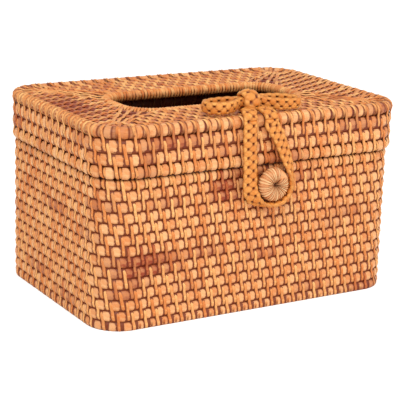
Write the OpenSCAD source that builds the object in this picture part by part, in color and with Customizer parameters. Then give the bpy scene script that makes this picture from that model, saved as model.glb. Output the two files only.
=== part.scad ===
// Rectangular tissue box cover of coiled rattan.
// Bent cane rings lie row on row and flat peel stitches tie each row to the next.
// The lid turns on two peel ties at the back and a braided loop closes it over a wrapped button.

/* [Box] */
// Outside length of the box, along X
box_len = 220; // [190:1:280]
// Outside depth of the box, along Y
box_dep = 147; // [130:1:190]
// Outside radius of the four upright corners
corner_r = 22; // [19:0.5:30]
// Rows of cane in the wall, from the ground to the seam
wall_rows = 14; // [13:1:18]

/* [Cane] */
// Diameter of the core cane
cane_d = 5.4; // [4.8:0.1:5.4]
// Distance from one row of cane to the next
cane_pitch = 6.9; // [6.9:0.1:7.6]
// Depth of the flat that the underside is ground to
foot_flat = 0.5; // [0.3:0.1:0.8]

/* [Peel] */
// Thickness of the flat peel that binds the canes
peel_t = 0.6; // [0.4:0.05:0.6]
// Width of the peel
peel_w = 2.2; // [2:0.1:3]
// Slack between the peel and the cane it binds
bind_gap = 0.1; // [0.05:0.01:0.1]
// Distance from one stitch to the next along a row
stitch_spacing = 8.4; // [6.5:0.1:9]
// One stitch in this many is made as a solid
stitches_kept = 5; // [4:1:8]

/* [Lid] */
// Rows of cane in the side of the lid, under its edge cane
lid_rows = 3; // [2:1:5]
// Diameter of the cane in the side of the lid
lid_cane_d = 6.2; // [5.6:0.1:6.4]
// Distance from one row to the next in the side of the lid
lid_pitch = 7.9; // [7.9:0.1:8.6]
// Diameter of the thicker cane round the top edge
edge_cane_d = 7.4; // [6.8:0.1:8]
// How far the rows of the lid stand out past those of the box, at the front and the ends
lid_overhang = 1.6; // [0.5:0.1:2.6]
// Gap between the rows at the seam
seam_gap = 0.3; // [0.2:0.1:0.8]
// Rows of cane in the top, from the edge cane to the opening
top_rows = 6; // [4:1:7]
// Bend radius of the tightest mitred corner
mitre_r = 6; // [5:0.5:8]
// Bend radius at the corners of the opening
opening_r = 20; // [12:0.5:22]

/* [Hinge] */
// Distance of each hinge tie from the middle of the back
tie_offset = 60; // [40:1:70]
// Width of the peel band in each hinge tie
tie_w = 12; // [8:0.5:18]
// Slack between a hinge tie and the cane it turns on
tie_gap = 0.3; // [0.25:0.01:0.35]

/* [Button] */
// Outside diameter of the wrapped button
button_d = 22; // [20:0.5:24]
// Thickness of the button
button_t = 9; // [8:0.1:9.5]
// How far the button stands to the right of the middle of the front
button_x = 6; // [5:0.1:7]
// How far the button rides above the gap that its shank leaves the wall by
button_rise = 2.5; // [0:0.1:2.5]
// Space between the back of the button and the wall
button_gap = 1.6; // [1:0.1:2.5]
// Peel turns round the ring of the button
button_turns = 24; // [16:1:30]
// Width of the peel shank
shank_w = 3; // [2.5:0.1:3.2]
// Thickness of the peel shank
shank_t = 0.8; // [0.6:0.1:1]
// Diameter of the short canes that pin the shanks inside
peg_d = 4; // [3:0.1:5]
// Length of those canes
peg_len = 16; // [12:1:24]

/* [Closure cord] */
// Width of the flat braid
cord_w = 10; // [9:0.1:10.2]
// Thickness of the flat braid
cord_t = 3.2; // [2.8:0.1:3.4]
// Thickness of the braid where it is pulled tight round the bow
knot_t = 2.6; // [2:0.1:3]
// Width of the braid there
knot_w = 12; // [10:0.5:13]
// Slack inside the knot
knot_gap = 0.3; // [0.2:0.05:0.5]
// Share of its width that the braid is squeezed to inside the knot
squeeze = 0.62; // [0.55:0.01:0.7]

/* [Hidden] */

// Colours
cane_colour = [0.80, 0.55, 0.38];
peel_colour = [0.88, 0.58, 0.29];
dark_peel_colour = [0.62, 0.32, 0.18];
braid_colour = [0.86, 0.62, 0.33];
button_colour = [0.88, 0.68, 0.48];

// Smoothness of the round forms
cane_fn = 24;
bend_fn = 48;
cord_sides = 12;

// Overrun of every cut past the face it leaves
overrun = 1;

// Radius out to the face of the peel round a plain cane, and round the edge cane
bound_r = cane_d / 2 + bind_gap + peel_t;
edge_bound_r = edge_cane_d / 2 + bind_gap + peel_t;

// Centre lines of the rows in the wall
wall_a = box_len / 2 - bound_r;
wall_b = box_dep / 2 - bound_r;
wall_r = corner_r - bound_r;

// Centre lines of the rows in the lid, whose back stays over the back of the box
lid_y = -lid_overhang / 2;
lid_a = wall_a + lid_overhang;
lid_b = wall_b + lid_overhang / 2;
lid_r = wall_r + lid_overhang;

// Distance from the edge cane to the row under it, and to the row beside it
edge_drop = lid_pitch + (edge_cane_d - lid_cane_d) / 2;
edge_pitch = cane_pitch + (edge_cane_d - cane_d) / 2;

// Heights of the rows
function row_z(row) = cane_d / 2 - foot_flat + (row - 1) * cane_pitch;
function lid_row_z(row) = row_z(wall_rows) + (cane_pitch + lid_pitch) / 2 + seam_gap
    + (row - 1) * lid_pitch;
edge_z = lid_row_z(lid_rows) + edge_drop;
top_face_z = edge_z + bound_r;
edge_top_z = edge_z + edge_bound_r;

// Centre lines of the rows in the top, counted inwards from the edge cane
mitre_row = 2;
function top_inset(row) = row == 0 ? 0 : edge_pitch + (row - 1) * cane_pitch;
function top_a(row) = lid_a - top_inset(row);
function top_b(row) = lid_b - top_inset(row);
function top_r(row) = row <= mitre_row
    ? lid_r - row * (lid_r - mitre_r) / mitre_row
    : mitre_r + (row - mitre_row) * (opening_r - mitre_r) / (top_rows - mitre_row);

// Rows in the floor, counted inwards from the wall, with a straight cane in the middle
floor_rows = floor(wall_b / cane_pitch) - 1;
floor_pitch = wall_b / (floor_rows + 1);
function floor_a(row) = wall_a - row * floor_pitch;
function floor_b(row) = wall_b - row * floor_pitch;
function floor_r(row) = max(wall_r - row * floor_pitch, min(mitre_r, floor_b(row) - bind_gap));
start_len = 2 * (floor_a(floor_rows) - floor_pitch);

// Names of the rows
function wall_name(row) = str("wall_coil_", row);
function lid_name(row) = str("lid_coil_", row);
function top_name(row) = str("top_coil_", row);

// Length of a rounded rectangle's centre line, and of its parts
function bend_len(r) = PI * r / 2;
function ring_len(a, b, r) = 4 * (a - r) + 4 * (b - r) + 4 * bend_len(r);

// Place and heading on such a line, s along it from the left end of the front
function ring_place(s, a, b, r) =
    let (front = 2 * (a - r), side = 2 * (b - r), bend = bend_len(r), half = ring_len(a, b, r) / 2)
    s >= half ? let (p = ring_place(s - half, a, b, r)) [-p[0], -p[1], p[2] + 180] :
    s < front ? [s - front / 2, -b, 0] :
    s < front + bend ? let (turn = 90 * (s - front) / bend)
        [a - r + r * sin(turn), r - b - r * cos(turn), turn] :
    s < front + bend + side ? [a, s - front - bend - side / 2, 90] :
    let (turn = 90 * (s - front - bend - side) / bend)
        [a - r + r * cos(turn), b - r + r * sin(turn), 90 + turn];

// Kept stitches go round a row at this share of their own step further on for each row up
row_shift_share = 0.52;
function kept_count(a, b, r) = round(ring_len(a, b, r) / (stitch_spacing * stitches_kept));
function kept_step(a, b, r) = ring_len(a, b, r) / kept_count(a, b, r);
function wrapped(s, whole) = s - whole * floor(s / whole);

// Distances from the middle of a straight side to the stitches on it, side 0 being the front
function side_start(side, a, b, r) = side == 0 ? 0 :
    side_start(side - 1, a, b, r) + bend_len(r) + side_len(side - 1, a, b, r);
function side_len(side, a, b, r) = side % 2 == 0 ? 2 * (a - r) : 2 * (b - r);
function side_marks(side, a, b, r, reach, shift) =
    let (step = kept_step(a, b, r), from = side_start(side, a, b, r), len = side_len(side, a, b, r))
    [for (i = [floor(from / step - shift) : ceil((from + len) / step - shift)])
        let (u = (i + shift) * step - from - len / 2) if (abs(u) <= reach - peel_w / 2) u];

// The hinge ties, the shank and the strap of the bow need the canes beside them clear of stitches
knot_x = -3;
strap_reach = (shank_w + peel_w) / 2 + tie_gap;
function by_tie(x) = abs(abs(x) - tie_offset) < (tie_w + peel_w) / 2 + tie_gap;
function by_shank(x) = abs(x - button_x) < strap_reach;
function by_bow(side, x, row) = side == 0 && row < 4 && abs(x - knot_x) < strap_reach;

// Button and what holds it, its shank leaving the wall above the third row from the seam
button_row = wall_rows - 2;
button_core_r = button_t / 2 - bind_gap - peel_t;
button_ring_r = (button_d - button_t) / 2;
wall_face_y = -(wall_b + bound_r);
button_y = wall_face_y - button_gap - button_t / 2;
shank_gap_z = row_z(button_row) + cane_pitch / 2;
button_z = shank_gap_z + button_rise;
wrap_share = 0.82;
eye_r = button_ring_r - button_t / 2;
shank_head_r = eye_r + peel_t;
shank_head_t = 1.2;
shank_front = button_y - button_t / 2 + shank_head_t / 2;
shank_tilt = atan(button_rise / (-wall_b - shank_front));
peg_y = bound_r - wall_b + peg_d / 2 + bind_gap;
peg_z = shank_gap_z - (wall_b + peg_y) * tan(shank_tilt);
peg_band_r = peg_d / 2 + bind_gap;

// Closure cord: the plane it hangs in, the pivot at its top and the end of its roots
lid_face_y = lid_y - lid_b - edge_bound_r;
cord_clear = 0.4;
loop_y = lid_face_y - cord_clear - cord_t / 2;
loop_top_z = edge_z;
root_end_z = loop_top_z + cord_t / 2 + tie_gap;

// Knot of the bow, over the gap between the first and second rows of the top
knot_y = lid_y - (top_b(1) + top_b(2)) / 2;
knot_inside = squeeze * cord_w + 2 * knot_gap + peel_t + bind_gap;
knot_depth = 2 * cord_t + 3 * knot_gap;
knot_foot_z = top_face_z + knot_gap;
knot_mid_z = knot_foot_z + knot_t + knot_inside / 2;
bow_z = knot_foot_z + knot_t + knot_inside - knot_gap - squeeze * cord_w / 2;
tie_head_w = 6;
tie_head_d = 3;
peg_drop = edge_z - bound_r - bind_gap - peg_d / 2;

// Drop of the hanging loop from its pivot to where it lies on edge under the button
loop_slack = 0.4;
loop_drop = loop_top_z - button_z + button_d / 2 + loop_slack + cord_t / 2;
edge_on_y = wall_face_y - cord_clear - cord_w / 2;

// Route of the hanging loop, drawn for this drop, as X from the middle of the button, Z from
// the pivot and the angle by which the braid is turned from flat to lying on its edge
loop_route_drop = 53;
loop_route = [
    [-18.2, 0, 0], [-18.1, -6, 0], [-17.8, -14, 0], [-17.4, -22, 0], [-17, -30, 0],
    [-16.8, -36, 4], [-16.5, -41, 12], [-15.4, -45, 26], [-13.2, -48.6, 46], [-10, -51.3, 66],
    [-6, -52.7, 82], [-1.5, -53, 90], [3, -52.7, 90], [7.4, -50.9, 90], [10.8, -47.4, 86],
    [13, -43, 78], [13.7, -38, 64], [13.2, -33, 46], [11.6, -28, 30], [9.4, -23, 20],
    [7.2, -18, 16], [4.8, -13, 12], [2.4, -8.2, 8], [-0.6, -4, 4], [-2.4, -1.6, 0], [-2.6, 0, 0]
];

// Routes of the two roots, as X from the middle of the button, share of the way from the
// pivot back to the knot and Z from the top of the edge, before the end over the pivot
root_reach = knot_y - knot_depth / 2 - knot_t - cord_clear - loop_y;
root_routes = [
    [[-14.3, 1, 2.2], [-14.5, 0.78, 2.2], [-15.6, 0.55, 2], [-16.9, 0.32, 1.4],
        [-17.8, 0.11, -0.2], [-18.2, 0.01, -1.3], [-18.2, 0, -1.9]],
    [[-3.6, 1, 2.2], [-3.6, 0.78, 2.2], [-3.3, 0.55, 2], [-3, 0.32, 1.4],
        [-2.7, 0.11, -0.2], [-2.6, 0.01, -1.3], [-2.6, 0, -1.9]]
];

// Routes of the two ears, as X and Y from the knot, Z from the height of the bow, the angle
// by which the braid leans back and the share of its width that it keeps
left_ear_route = [
    [0, -1.8, 0, 0, squeeze], [-7, -1.8, 0, 0, squeeze], [-10, -2.8, -0.2, 10, 0.76],
    [-14, -4.6, -0.6, 20, 0.9], [-19, -5.8, -1, 28, 1], [-24.5, -5.8, -1.4, 30, 1],
    [-28.8, -4, -1.6, 30, 1], [-31, -0.6, -1.6, 30, 1], [-29.6, 3, -1.4, 30, 1],
    [-25, 5, -1, 30, 1], [-19, 5, -0.8, 28, 1], [-14, 4, -0.5, 20, 0.9],
    [-10, 2.8, -0.2, 10, 0.76], [-7, 1.8, 0, 0, squeeze], [0, 1.8, 0, 0, squeeze]
];
right_ear_route = [
    [0, -1.8, 0, 0, squeeze], [7, -1.8, 0, 0, squeeze], [10, -2.8, -0.2, 8, 0.76],
    [14, -4.8, -0.8, 18, 0.9], [19.5, -7.2, -1, 26, 1], [26, -9, -1.1, 30, 1],
    [31.5, -9.6, -1.2, 30, 1], [34.4, -7.2, -1.2, 30, 1], [33, -3.4, -1.2, 30, 1],
    [27, -0.4, -1.2, 30, 1], [20.5, 1.6, -1, 26, 1], [14.5, 2.8, -0.6, 18, 0.9],
    [10, 2.6, -0.2, 8, 0.76], [7, 1.8, 0, 0, squeeze], [0, 1.8, 0, 0, squeeze]
];
route_cord_w = 10;

// A ring of cane bent to a rounded rectangle, centred on the origin
module cane_ring(a, b, r, d) {
    for (end = [-1, 1]) {
        translate([end * a, r - b, 0])
            rotate([-90, 0, 0])
                cylinder(d = d, h = 2 * (b - r), $fn = cane_fn);
        translate([r - a, end * b, 0])
            rotate([0, 90, 0])
                cylinder(d = d, h = 2 * (a - r), $fn = cane_fn);
    }
    for (corner = [0:3])
        translate([(corner % 3 == 0 ? 1 : -1) * (a - r), (corner < 2 ? 1 : -1) * (b - r), 0])
            rotate(90 * corner)
                rotate_extrude(angle = 90, $fn = bend_fn)
                    translate([r, 0])
                        circle(d = d, $fn = cane_fn);
}

// Everything below the ground plane, for grinding the underside flat
module below_ground() {
    translate([-box_len, -box_dep, -box_len])
        cube([2 * box_len, 2 * box_dep, box_len]);
}

// Outline round two round things whose centres are a span apart
module pair_outline(span, r_near, r_far) {
    circle(r = r_near, $fn = cane_fn);
    translate([span, 0])
        circle(r = r_far, $fn = cane_fn);
    polygon([[0, -r_near], [span, -r_far], [span, r_far], [0, r_near]]);
}

// Flat section of a peel stitch round two canes
module stitch_section(span, r_near, r_far) {
    difference() {
        pair_outline(span, r_near + peel_t, r_far + peel_t);
        pair_outline(span, r_near, r_far);
    }
}

// A stitch up the wall, from the cane at the origin to the cane above it
module upright_stitch(span, r_near, r_far) {
    rotate([0, -90, 0])
        translate([0, 0, -peel_w / 2])
            linear_extrude(peel_w)
                stitch_section(span, r_near, r_far);
}

// A stitch across a floor or a top, from the outer cane to the inner one
module flat_stitch(span, r_near, r_far) {
    rotate([90, 0, 90])
        translate([0, 0, -peel_w / 2])
            linear_extrude(peel_w)
                stitch_section(span, r_near, r_far);
}

// Stitches of one pair of wall rows, all the way round
module stitch_round(a, b, r, span, r_near, r_far, shift, miss_tie, miss_shank) {
    whole = ring_len(a, b, r);
    step = kept_step(a, b, r);
    for (i = [0 : kept_count(a, b, r) - 1]) {
        p = ring_place(wrapped((i + shift) * step, whole), a, b, r);
        at_tie = miss_tie && p[2] == 180 && by_tie(p[0]);
        at_shank = miss_shank && p[2] == 0 && by_shank(p[0]);
        if (!at_tie && !at_shank)
            translate([p[0], p[1], 0])
                rotate(p[2])
                    upright_stitch(span, r_near, r_far);
    }
}

// Stitches of one pair of flat rows, on the straight sides of the inner one
module stitch_flat_pair(a, b, in_a, in_b, in_r, grid, r_near, r_far, shift, bow_row) {
    for (side = [0:3]) {
        out = side % 2 == 0 ? b : a;
        span = side % 2 == 0 ? b - in_b : a - in_a;
        reach = side % 2 == 0 ? in_a - in_r : in_b - in_r;
        for (u = side_marks(side, grid[0], grid[1], grid[2], reach, shift))
            if (!by_bow(side, u, bow_row))
                rotate(90 * side)
                    translate([u, -out, 0])
                        flat_stitch(span, r_near, r_far);
    }
}

// One row of the wall
module wall_coil(row) {
    color(cane_colour)
        if (row == 1)
            difference() {
                translate([0, 0, row_z(row)]) cane_ring(wall_a, wall_b, wall_r, cane_d);
                below_ground();
            }
        else
            translate([0, 0, row_z(row)]) cane_ring(wall_a, wall_b, wall_r, cane_d);
}

// Straight cane in the middle of the floor, where the coiling starts
module floor_start_cane() {
    color(cane_colour)
        difference() {
            translate([-start_len / 2, 0, row_z(1)])
                rotate([0, 90, 0])
                    cylinder(d = cane_d, h = start_len, $fn = cane_fn);
            below_ground();
        }
}

// Rows of the floor round the start cane
module floor_coils() {
    color(cane_colour)
        for (row = [1:floor_rows])
            difference() {
                translate([0, 0, row_z(1)])
                    cane_ring(floor_a(row), floor_b(row), floor_r(row), cane_d);
                below_ground();
            }
}

// Stitches between the rows of the wall
module wall_stitches() {
    bind_r = cane_d / 2 + bind_gap;
    color(peel_colour) {
        difference() {
            translate([0, 0, row_z(1)])
                stitch_round(wall_a, wall_b, wall_r, cane_pitch, bind_r, bind_r, 0, false, false);
            below_ground();
        }
        for (row = [2 : wall_rows - 1])
            translate([0, 0, row_z(row)])
                stitch_round(wall_a, wall_b, wall_r, cane_pitch, bind_r, bind_r,
                    row_shift_share * (row - 1), row > wall_rows - 3, abs(row - button_row) < 2);
    }
}

// Stitches between the rows of the floor, ground flat with the canes
module floor_stitches() {
    bind_r = cane_d / 2 + bind_gap;
    color(peel_colour)
        difference() {
            translate([0, 0, row_z(1)]) {
                for (row = [1:floor_rows])
                    stitch_flat_pair(floor_a(row - 1), floor_b(row - 1),
                        floor_a(row), floor_b(row), floor_r(row),
                        [wall_a, wall_b, wall_r], bind_r, bind_r, -row_shift_share * row, top_rows);
                for (side = [0, 2], u = side_marks(side, wall_a, wall_b, wall_r,
                        start_len / 2, -row_shift_share * (floor_rows + 1)))
                    rotate(90 * side)
                        translate([u, -floor_b(floor_rows), 0])
                            flat_stitch(floor_pitch, bind_r, bind_r);
            }
            below_ground();
        }
}

// Cane ring inside the button
module button_ring() {
    color(cane_colour)
        translate([button_x, button_y, button_z])
            rotate([90, 0, 0])
                rotate_extrude($fn = bend_fn)
                    translate([button_ring_r, 0])
                        circle(r = button_core_r, $fn = cane_fn);
}

// Peel turns laid side by side round the ring of the button
module button_wraps() {
    turn = 360 / button_turns;
    color(button_colour)
        translate([button_x, button_y, button_z])
            rotate([90, 0, 0])
                for (i = [0 : button_turns - 1])
                    rotate(i * turn)
                        rotate_extrude(angle = turn * wrap_share, $fn = bend_fn)
                            translate([button_ring_r, 0])
                                difference() {
                                    circle(r = button_t / 2, $fn = cane_fn);
                                    circle(r = button_core_r + bind_gap, $fn = cane_fn);
                                }
}

// Band of peel round a peg that lies along X
module peg_band(width) {
    rotate([0, 90, 0])
        difference() {
            cylinder(r = peg_band_r + peel_t, h = width, center = true, $fn = cane_fn);
            cylinder(r = peg_band_r, h = width + 2 * overrun, center = true, $fn = cane_fn);
        }
}

// Peel shank from the eye of the button, between two rows of the wall, to the peg inside
module button_shank() {
    out = (-wall_b - shank_front) / cos(shank_tilt);
    back = (wall_b + peg_y) / cos(shank_tilt) - peg_band_r;
    color(dark_peel_colour) {
        translate([button_x, -wall_b, shank_gap_z])
            rotate([-shank_tilt, 0, 0])
                translate([-shank_w / 2, -out, -shank_t / 2])
                    cube([shank_w, out + back, shank_t]);
        translate([button_x, shank_front, button_z])
            rotate([90, 0, 0])
                cylinder(r1 = eye_r - bind_gap, r2 = shank_head_r, h = shank_head_t, $fn = cane_fn);
        translate([button_x, peg_y, peg_z])
            peg_band(shank_w);
    }
}

// Short cane inside the wall that the shank of the button goes round
module button_peg() {
    color(cane_colour)
        translate([button_x - peg_len / 2, peg_y, peg_z])
            rotate([0, 90, 0])
                cylinder(d = peg_d, h = peg_len, $fn = cane_fn);
}

// One row in the side of the lid
module lid_coil(row) {
    color(cane_colour)
        translate([0, lid_y, lid_row_z(row)])
            cane_ring(lid_a, lid_b, lid_r, lid_cane_d);
}

// Thicker cane round the top edge of the lid
module lid_edge_cane() {
    color(cane_colour)
        translate([0, lid_y, edge_z])
            cane_ring(lid_a, lid_b, lid_r, edge_cane_d);
}

// One row in the top of the lid, the last being the rim of the opening
module top_coil(row) {
    color(cane_colour)
        translate([0, lid_y, edge_z])
            cane_ring(top_a(row), top_b(row), top_r(row), cane_d);
}

// Stitches in the side of the lid, up to its edge cane
module lid_side_stitches() {
    bind_r = lid_cane_d / 2 + bind_gap;
    edge_bind_r = edge_cane_d / 2 + bind_gap;
    color(peel_colour) {
        for (row = [1 : lid_rows - 1])
            translate([0, lid_y, lid_row_z(row)])
                stitch_round(lid_a, lid_b, lid_r, lid_pitch, bind_r, bind_r,
                    row_shift_share * row, row < 3, false);
        translate([0, lid_y, lid_row_z(lid_rows)])
            stitch_round(lid_a, lid_b, lid_r, edge_drop, bind_r, edge_bind_r,
                row_shift_share * lid_rows, false, false);
    }
}

// Stitches in the top of the lid
module lid_top_stitches() {
    bind_r = cane_d / 2 + bind_gap;
    edge_bind_r = edge_cane_d / 2 + bind_gap;
    color(peel_colour)
        translate([0, lid_y, edge_z])
            for (row = [1:top_rows])
                stitch_flat_pair(top_a(row - 1), top_b(row - 1),
                    top_a(row), top_b(row), top_r(row),
                    [lid_a, lid_b, lid_r], row == 1 ? edge_bind_r : bind_r, bind_r,
                    row_shift_share * (lid_rows + row), row);
}

// Peel band round the back cane of the box, on which it turns, and the lowest cane of the lid
module hinge_tie(x) {
    span = lid_row_z(1) - row_z(wall_rows);
    near_r = cane_d / 2 + tie_gap;
    far_r = lid_cane_d / 2 + tie_gap;
    color(dark_peel_colour)
        translate([x + tie_w / 2, wall_b, row_z(wall_rows)])
            rotate([0, -90, 0])
                linear_extrude(tie_w)
                    stitch_section(span, near_r, far_r);
}

module hinge_tie_left() {
    hinge_tie(-tie_offset);
}

module hinge_tie_right() {
    hinge_tie(tie_offset);
}

// Unit vector
function unit(v) = v / norm(v);

// Direction of a route at one of its points
function heading(route, i) = unit(route[min(i + 1, len(route) - 1)] - route[max(i - 1, 0)]);

// One ring of points round a route, flat_way being the way the thin side of the braid faces
function cord_ring(centre, along, flat_way, width) =
    let (wide = unit(cross(along, flat_way)), thin = unit(cross(wide, along)))
    [for (k = [0 : cord_sides - 1]) let (turn = 360 * k / cord_sides)
        centre + width / 2 * cos(turn) * wide + cord_t / 2 * sin(turn) * thin];

// A flat cord along a route, with the way its thin side faces and its width at each point
module flat_cord(route, ways, widths) {
    count = len(route);
    points = [for (i = [0 : count - 1]) each cord_ring(route[i], heading(route, i), ways[i], widths[i])];
    sides = [for (i = [0 : count - 2], k = [0 : cord_sides - 1])
        let (next = (k + 1) % cord_sides, here = i * cord_sides, there = (i + 1) * cord_sides)
        each [[here + k, here + next, there + next], [here + k, there + next, there + k]]];
    first_cap = [for (k = [0 : cord_sides - 1]) cord_sides - 1 - k];
    last_cap = [for (k = [0 : cord_sides - 1]) (count - 1) * cord_sides + k];
    polyhedron(points = points, faces = concat([first_cap], sides, [last_cap]));
}

// The hanging loop, with round ends on the line that it swings about
module closure_loop() {
    stretch = loop_drop / loop_route_drop;
    route = [for (p = loop_route) let (on_edge = pow(sin(p[2]), 2))
        [button_x + p[0] * stretch, loop_y + (edge_on_y - loop_y) * on_edge,
            loop_top_z + p[1] * stretch]];
    ways = [for (i = [0 : len(route) - 1]) let (turn = loop_route[i][2])
        cos(turn) * [0, 1, 0] + sin(turn) * unit(cross(heading(route, i), [0, 1, 0]))];
    color(braid_colour) {
        flat_cord(route, ways, [for (p = route) cord_w]);
        for (end = [route[0], route[len(route) - 1]])
            translate(end)
                rotate([0, 90, 0])
                    cylinder(d = cord_t, h = cord_w, center = true, $fn = cane_fn);
    }
}

// The two stretches of braid from the knot, over the edge cane, to the loop
module loop_roots() {
    stretch = loop_drop / loop_route_drop;
    color(braid_colour)
        for (root = root_routes) {
            end_x = button_x + root[len(root) - 1][0] * stretch;
            route = concat([for (p = root)
                [button_x + p[0] * stretch, loop_y + p[1] * root_reach, edge_top_z + p[2]]],
                [[end_x, loop_y, root_end_z]]);
            ways = [for (i = [0 : len(route) - 1]) cross([1, 0, 0], heading(route, i))];
            flat_cord(route, ways, [for (p = route) cord_w]);
        }
}

// One ear of the bow, standing on its edge and leaning back
module bow_ear(ear) {
    ratio = cord_w / route_cord_w;
    route = [for (p = ear) [knot_x, knot_y, bow_z] + ratio * [p[0], p[1], p[2]]];
    ways = [for (i = [0 : len(route) - 1])
        let (side = cross(heading(route, i), [0, 0, 1]), lean = ear[i][3])
        [side[0], side[1] * cos(lean), -side[1] * sin(lean)]];
    color(braid_colour)
        flat_cord(route, ways, [for (p = ear) cord_w * p[4]]);
}

module bow_ear_left() {
    bow_ear(left_ear_route);
}

module bow_ear_right() {
    bow_ear(right_ear_route);
}

// Upright outline with round corners
module rounded_outline(width, height, r) {
    for (side = [-1, 1], end = [-1, 1])
        translate([side * (width / 2 - r), end * (height / 2 - r)])
            circle(r = r, $fn = cane_fn);
    square([width, height - 2 * r], center = true);
    square([width - 2 * r, height], center = true);
}

// Tight turn of braid round the two strands of the bow, slotted for its tie
module bow_knot() {
    outside = [knot_depth + 2 * knot_t, knot_inside + 2 * knot_t];
    slot = [shank_w + 2 * bind_gap, shank_t + 2 * bind_gap, knot_t + 2 * overrun];
    color(braid_colour)
        difference() {
            translate([knot_x - knot_w / 2, knot_y, knot_mid_z])
                rotate([90, 0, 90])
                    linear_extrude(knot_w)
                        difference() {
                            rounded_outline(outside[0], outside[1], knot_t + knot_gap);
                            rounded_outline(knot_depth, knot_inside, knot_gap);
                        }
            translate([knot_x - slot[0] / 2, knot_y - slot[1] / 2, knot_foot_z - overrun])
                cube(slot);
        }
}

// Peel strap that pins the knot down, between two rows of the top, to the peg under the lid
module bow_tie() {
    head_z = knot_foot_z + knot_t + bind_gap;
    foot_z = peg_drop + peg_band_r;
    color(dark_peel_colour) {
        translate([knot_x - shank_w / 2, knot_y - shank_t / 2, foot_z])
            cube([shank_w, shank_t, head_z - foot_z]);
        translate([knot_x - tie_head_w / 2, knot_y - tie_head_d / 2, head_z])
            cube([tie_head_w, tie_head_d, peel_t]);
        translate([knot_x, knot_y, peg_drop])
            peg_band(shank_w);
    }
}

// Short cane under the lid that the tie of the bow goes round
module bow_peg() {
    color(cane_colour)
        translate([knot_x - peg_len / 2, knot_y, peg_drop])
            rotate([0, 90, 0])
                cylinder(d = peg_d, h = peg_len, $fn = cane_fn);
}

for (row = [1:wall_rows]) wall_coil(row);
floor_start_cane();
floor_coils();
wall_stitches();
floor_stitches();
button_ring();
button_wraps();
button_shank();
button_peg();
for (row = [1:lid_rows]) lid_coil(row);
lid_edge_cane();
for (row = [1:top_rows]) top_coil(row);
lid_side_stitches();
lid_top_stitches();
hinge_tie_left();
hinge_tie_right();
bow_knot();
bow_ear_left();
bow_ear_right();
bow_tie();
bow_peg();
loop_roots();
closure_loop();
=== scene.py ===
"""Looks of a tissue box cover of coiled rattan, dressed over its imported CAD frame.

Metres, +Z up, front towards -Y. Rows of cane are swept along the centre lines of the CAD rows, and
one peel stitch is set at every mark between two rows by Geometry Nodes.
"""

import math
from collections import namedtuple

import bpy
import numpy as np
from mathutils import Matrix, Vector


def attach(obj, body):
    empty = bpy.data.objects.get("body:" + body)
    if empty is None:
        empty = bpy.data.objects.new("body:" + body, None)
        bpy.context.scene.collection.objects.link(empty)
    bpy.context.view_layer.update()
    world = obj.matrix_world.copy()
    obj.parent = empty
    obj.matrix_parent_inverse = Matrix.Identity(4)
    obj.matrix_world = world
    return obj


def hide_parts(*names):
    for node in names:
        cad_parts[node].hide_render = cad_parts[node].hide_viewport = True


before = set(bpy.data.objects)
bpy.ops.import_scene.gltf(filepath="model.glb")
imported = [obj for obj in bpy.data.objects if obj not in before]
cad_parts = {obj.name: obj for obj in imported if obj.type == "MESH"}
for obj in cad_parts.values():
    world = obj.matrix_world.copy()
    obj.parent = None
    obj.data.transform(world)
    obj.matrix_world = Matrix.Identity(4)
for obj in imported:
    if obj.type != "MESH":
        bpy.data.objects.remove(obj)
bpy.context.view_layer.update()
MM = 0.001
UP, RIGHT = Vector((0, 0, 1)), Vector((1, 0, 0))

# camera

AZIMUTH, ELEVATION, ROLL = -31.276, 15.385, 1.847
TARGET = Vector((0.000837, 0.0, 0.054318))
DISTANCE, FOCAL_PX, IMAGE_PX = 0.94233, 1392.545, 400


def add_camera():
    az, el, roll = (math.radians(v) for v in (AZIMUTH, ELEVATION, ROLL))
    back = Vector((math.sin(az) * math.cos(el), -math.cos(az) * math.cos(el), math.sin(el)))
    right = UP.cross(back).normalized()
    up = back.cross(right)
    turned_right = right * math.cos(roll) + up * math.sin(roll)
    turned_up = up * math.cos(roll) - right * math.sin(roll)
    data = bpy.data.cameras.new("photo_camera")
    data.sensor_width = 36
    data.lens = FOCAL_PX * 36 / IMAGE_PX
    data.clip_start, data.clip_end = 0.05, 20
    camera = bpy.data.objects.new("photo_camera", data)
    camera.matrix_world = Matrix.Translation(TARGET + back * DISTANCE) @ Matrix(
        (turned_right, turned_up, back)
    ).transposed().to_4x4()
    bpy.context.scene.collection.objects.link(camera)
    bpy.context.scene.camera = camera


add_camera()

# sizes, as in the CAD source

CANE_R, LID_CANE_R, EDGE_CANE_R = 2.7 * MM, 3.1 * MM, 3.7 * MM
BIND_GAP, PEEL_T, PEEL_W = 0.1 * MM, 0.6 * MM, 2.2 * MM
STRIP_W = 2.25 * MM  # the peel where it lies flat on a cane
PITCH, LID_PITCH = 6.9 * MM, 7.9 * MM
BOTTOM_Z, LID_BOTTOM_Z = 2.2 * MM, 99.6 * MM
EDGE_DROP, EDGE_PITCH = 8.5 * MM, 7.9 * MM
SPACING = 8.4 * MM
WALL_ROWS, LID_ROWS, TOP_ROWS, FLOOR_ROWS = 14, 3, 6, 9
ROW_SHIFT = 2.6
LEAN = 0.15
TIE_OFFSET, TIE_W, TIE_GAP = 60 * MM, 12 * MM, 0.3 * MM
BUTTON_X, BUTTON_Y, BUTTON_Z = 6 * MM, -79.6 * MM, 84.05 * MM
BUTTON_ROW, SHANK_W = 12, 3 * MM
CORD_W, CORD_T = 10 * MM, 3.2 * MM
KNOT_X, KNOT_Y = -3 * MM, -60.35 * MM

WALL = (106.6 * MM, 70.1 * MM, 18.6 * MM)
LID = (108.2 * MM, 70.9 * MM, 20.2 * MM)
LID_Y = -0.8 * MM
MITRE_R, OPENING_R = 6 * MM, 20 * MM
EDGE_Z = 123.9 * MM

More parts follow.
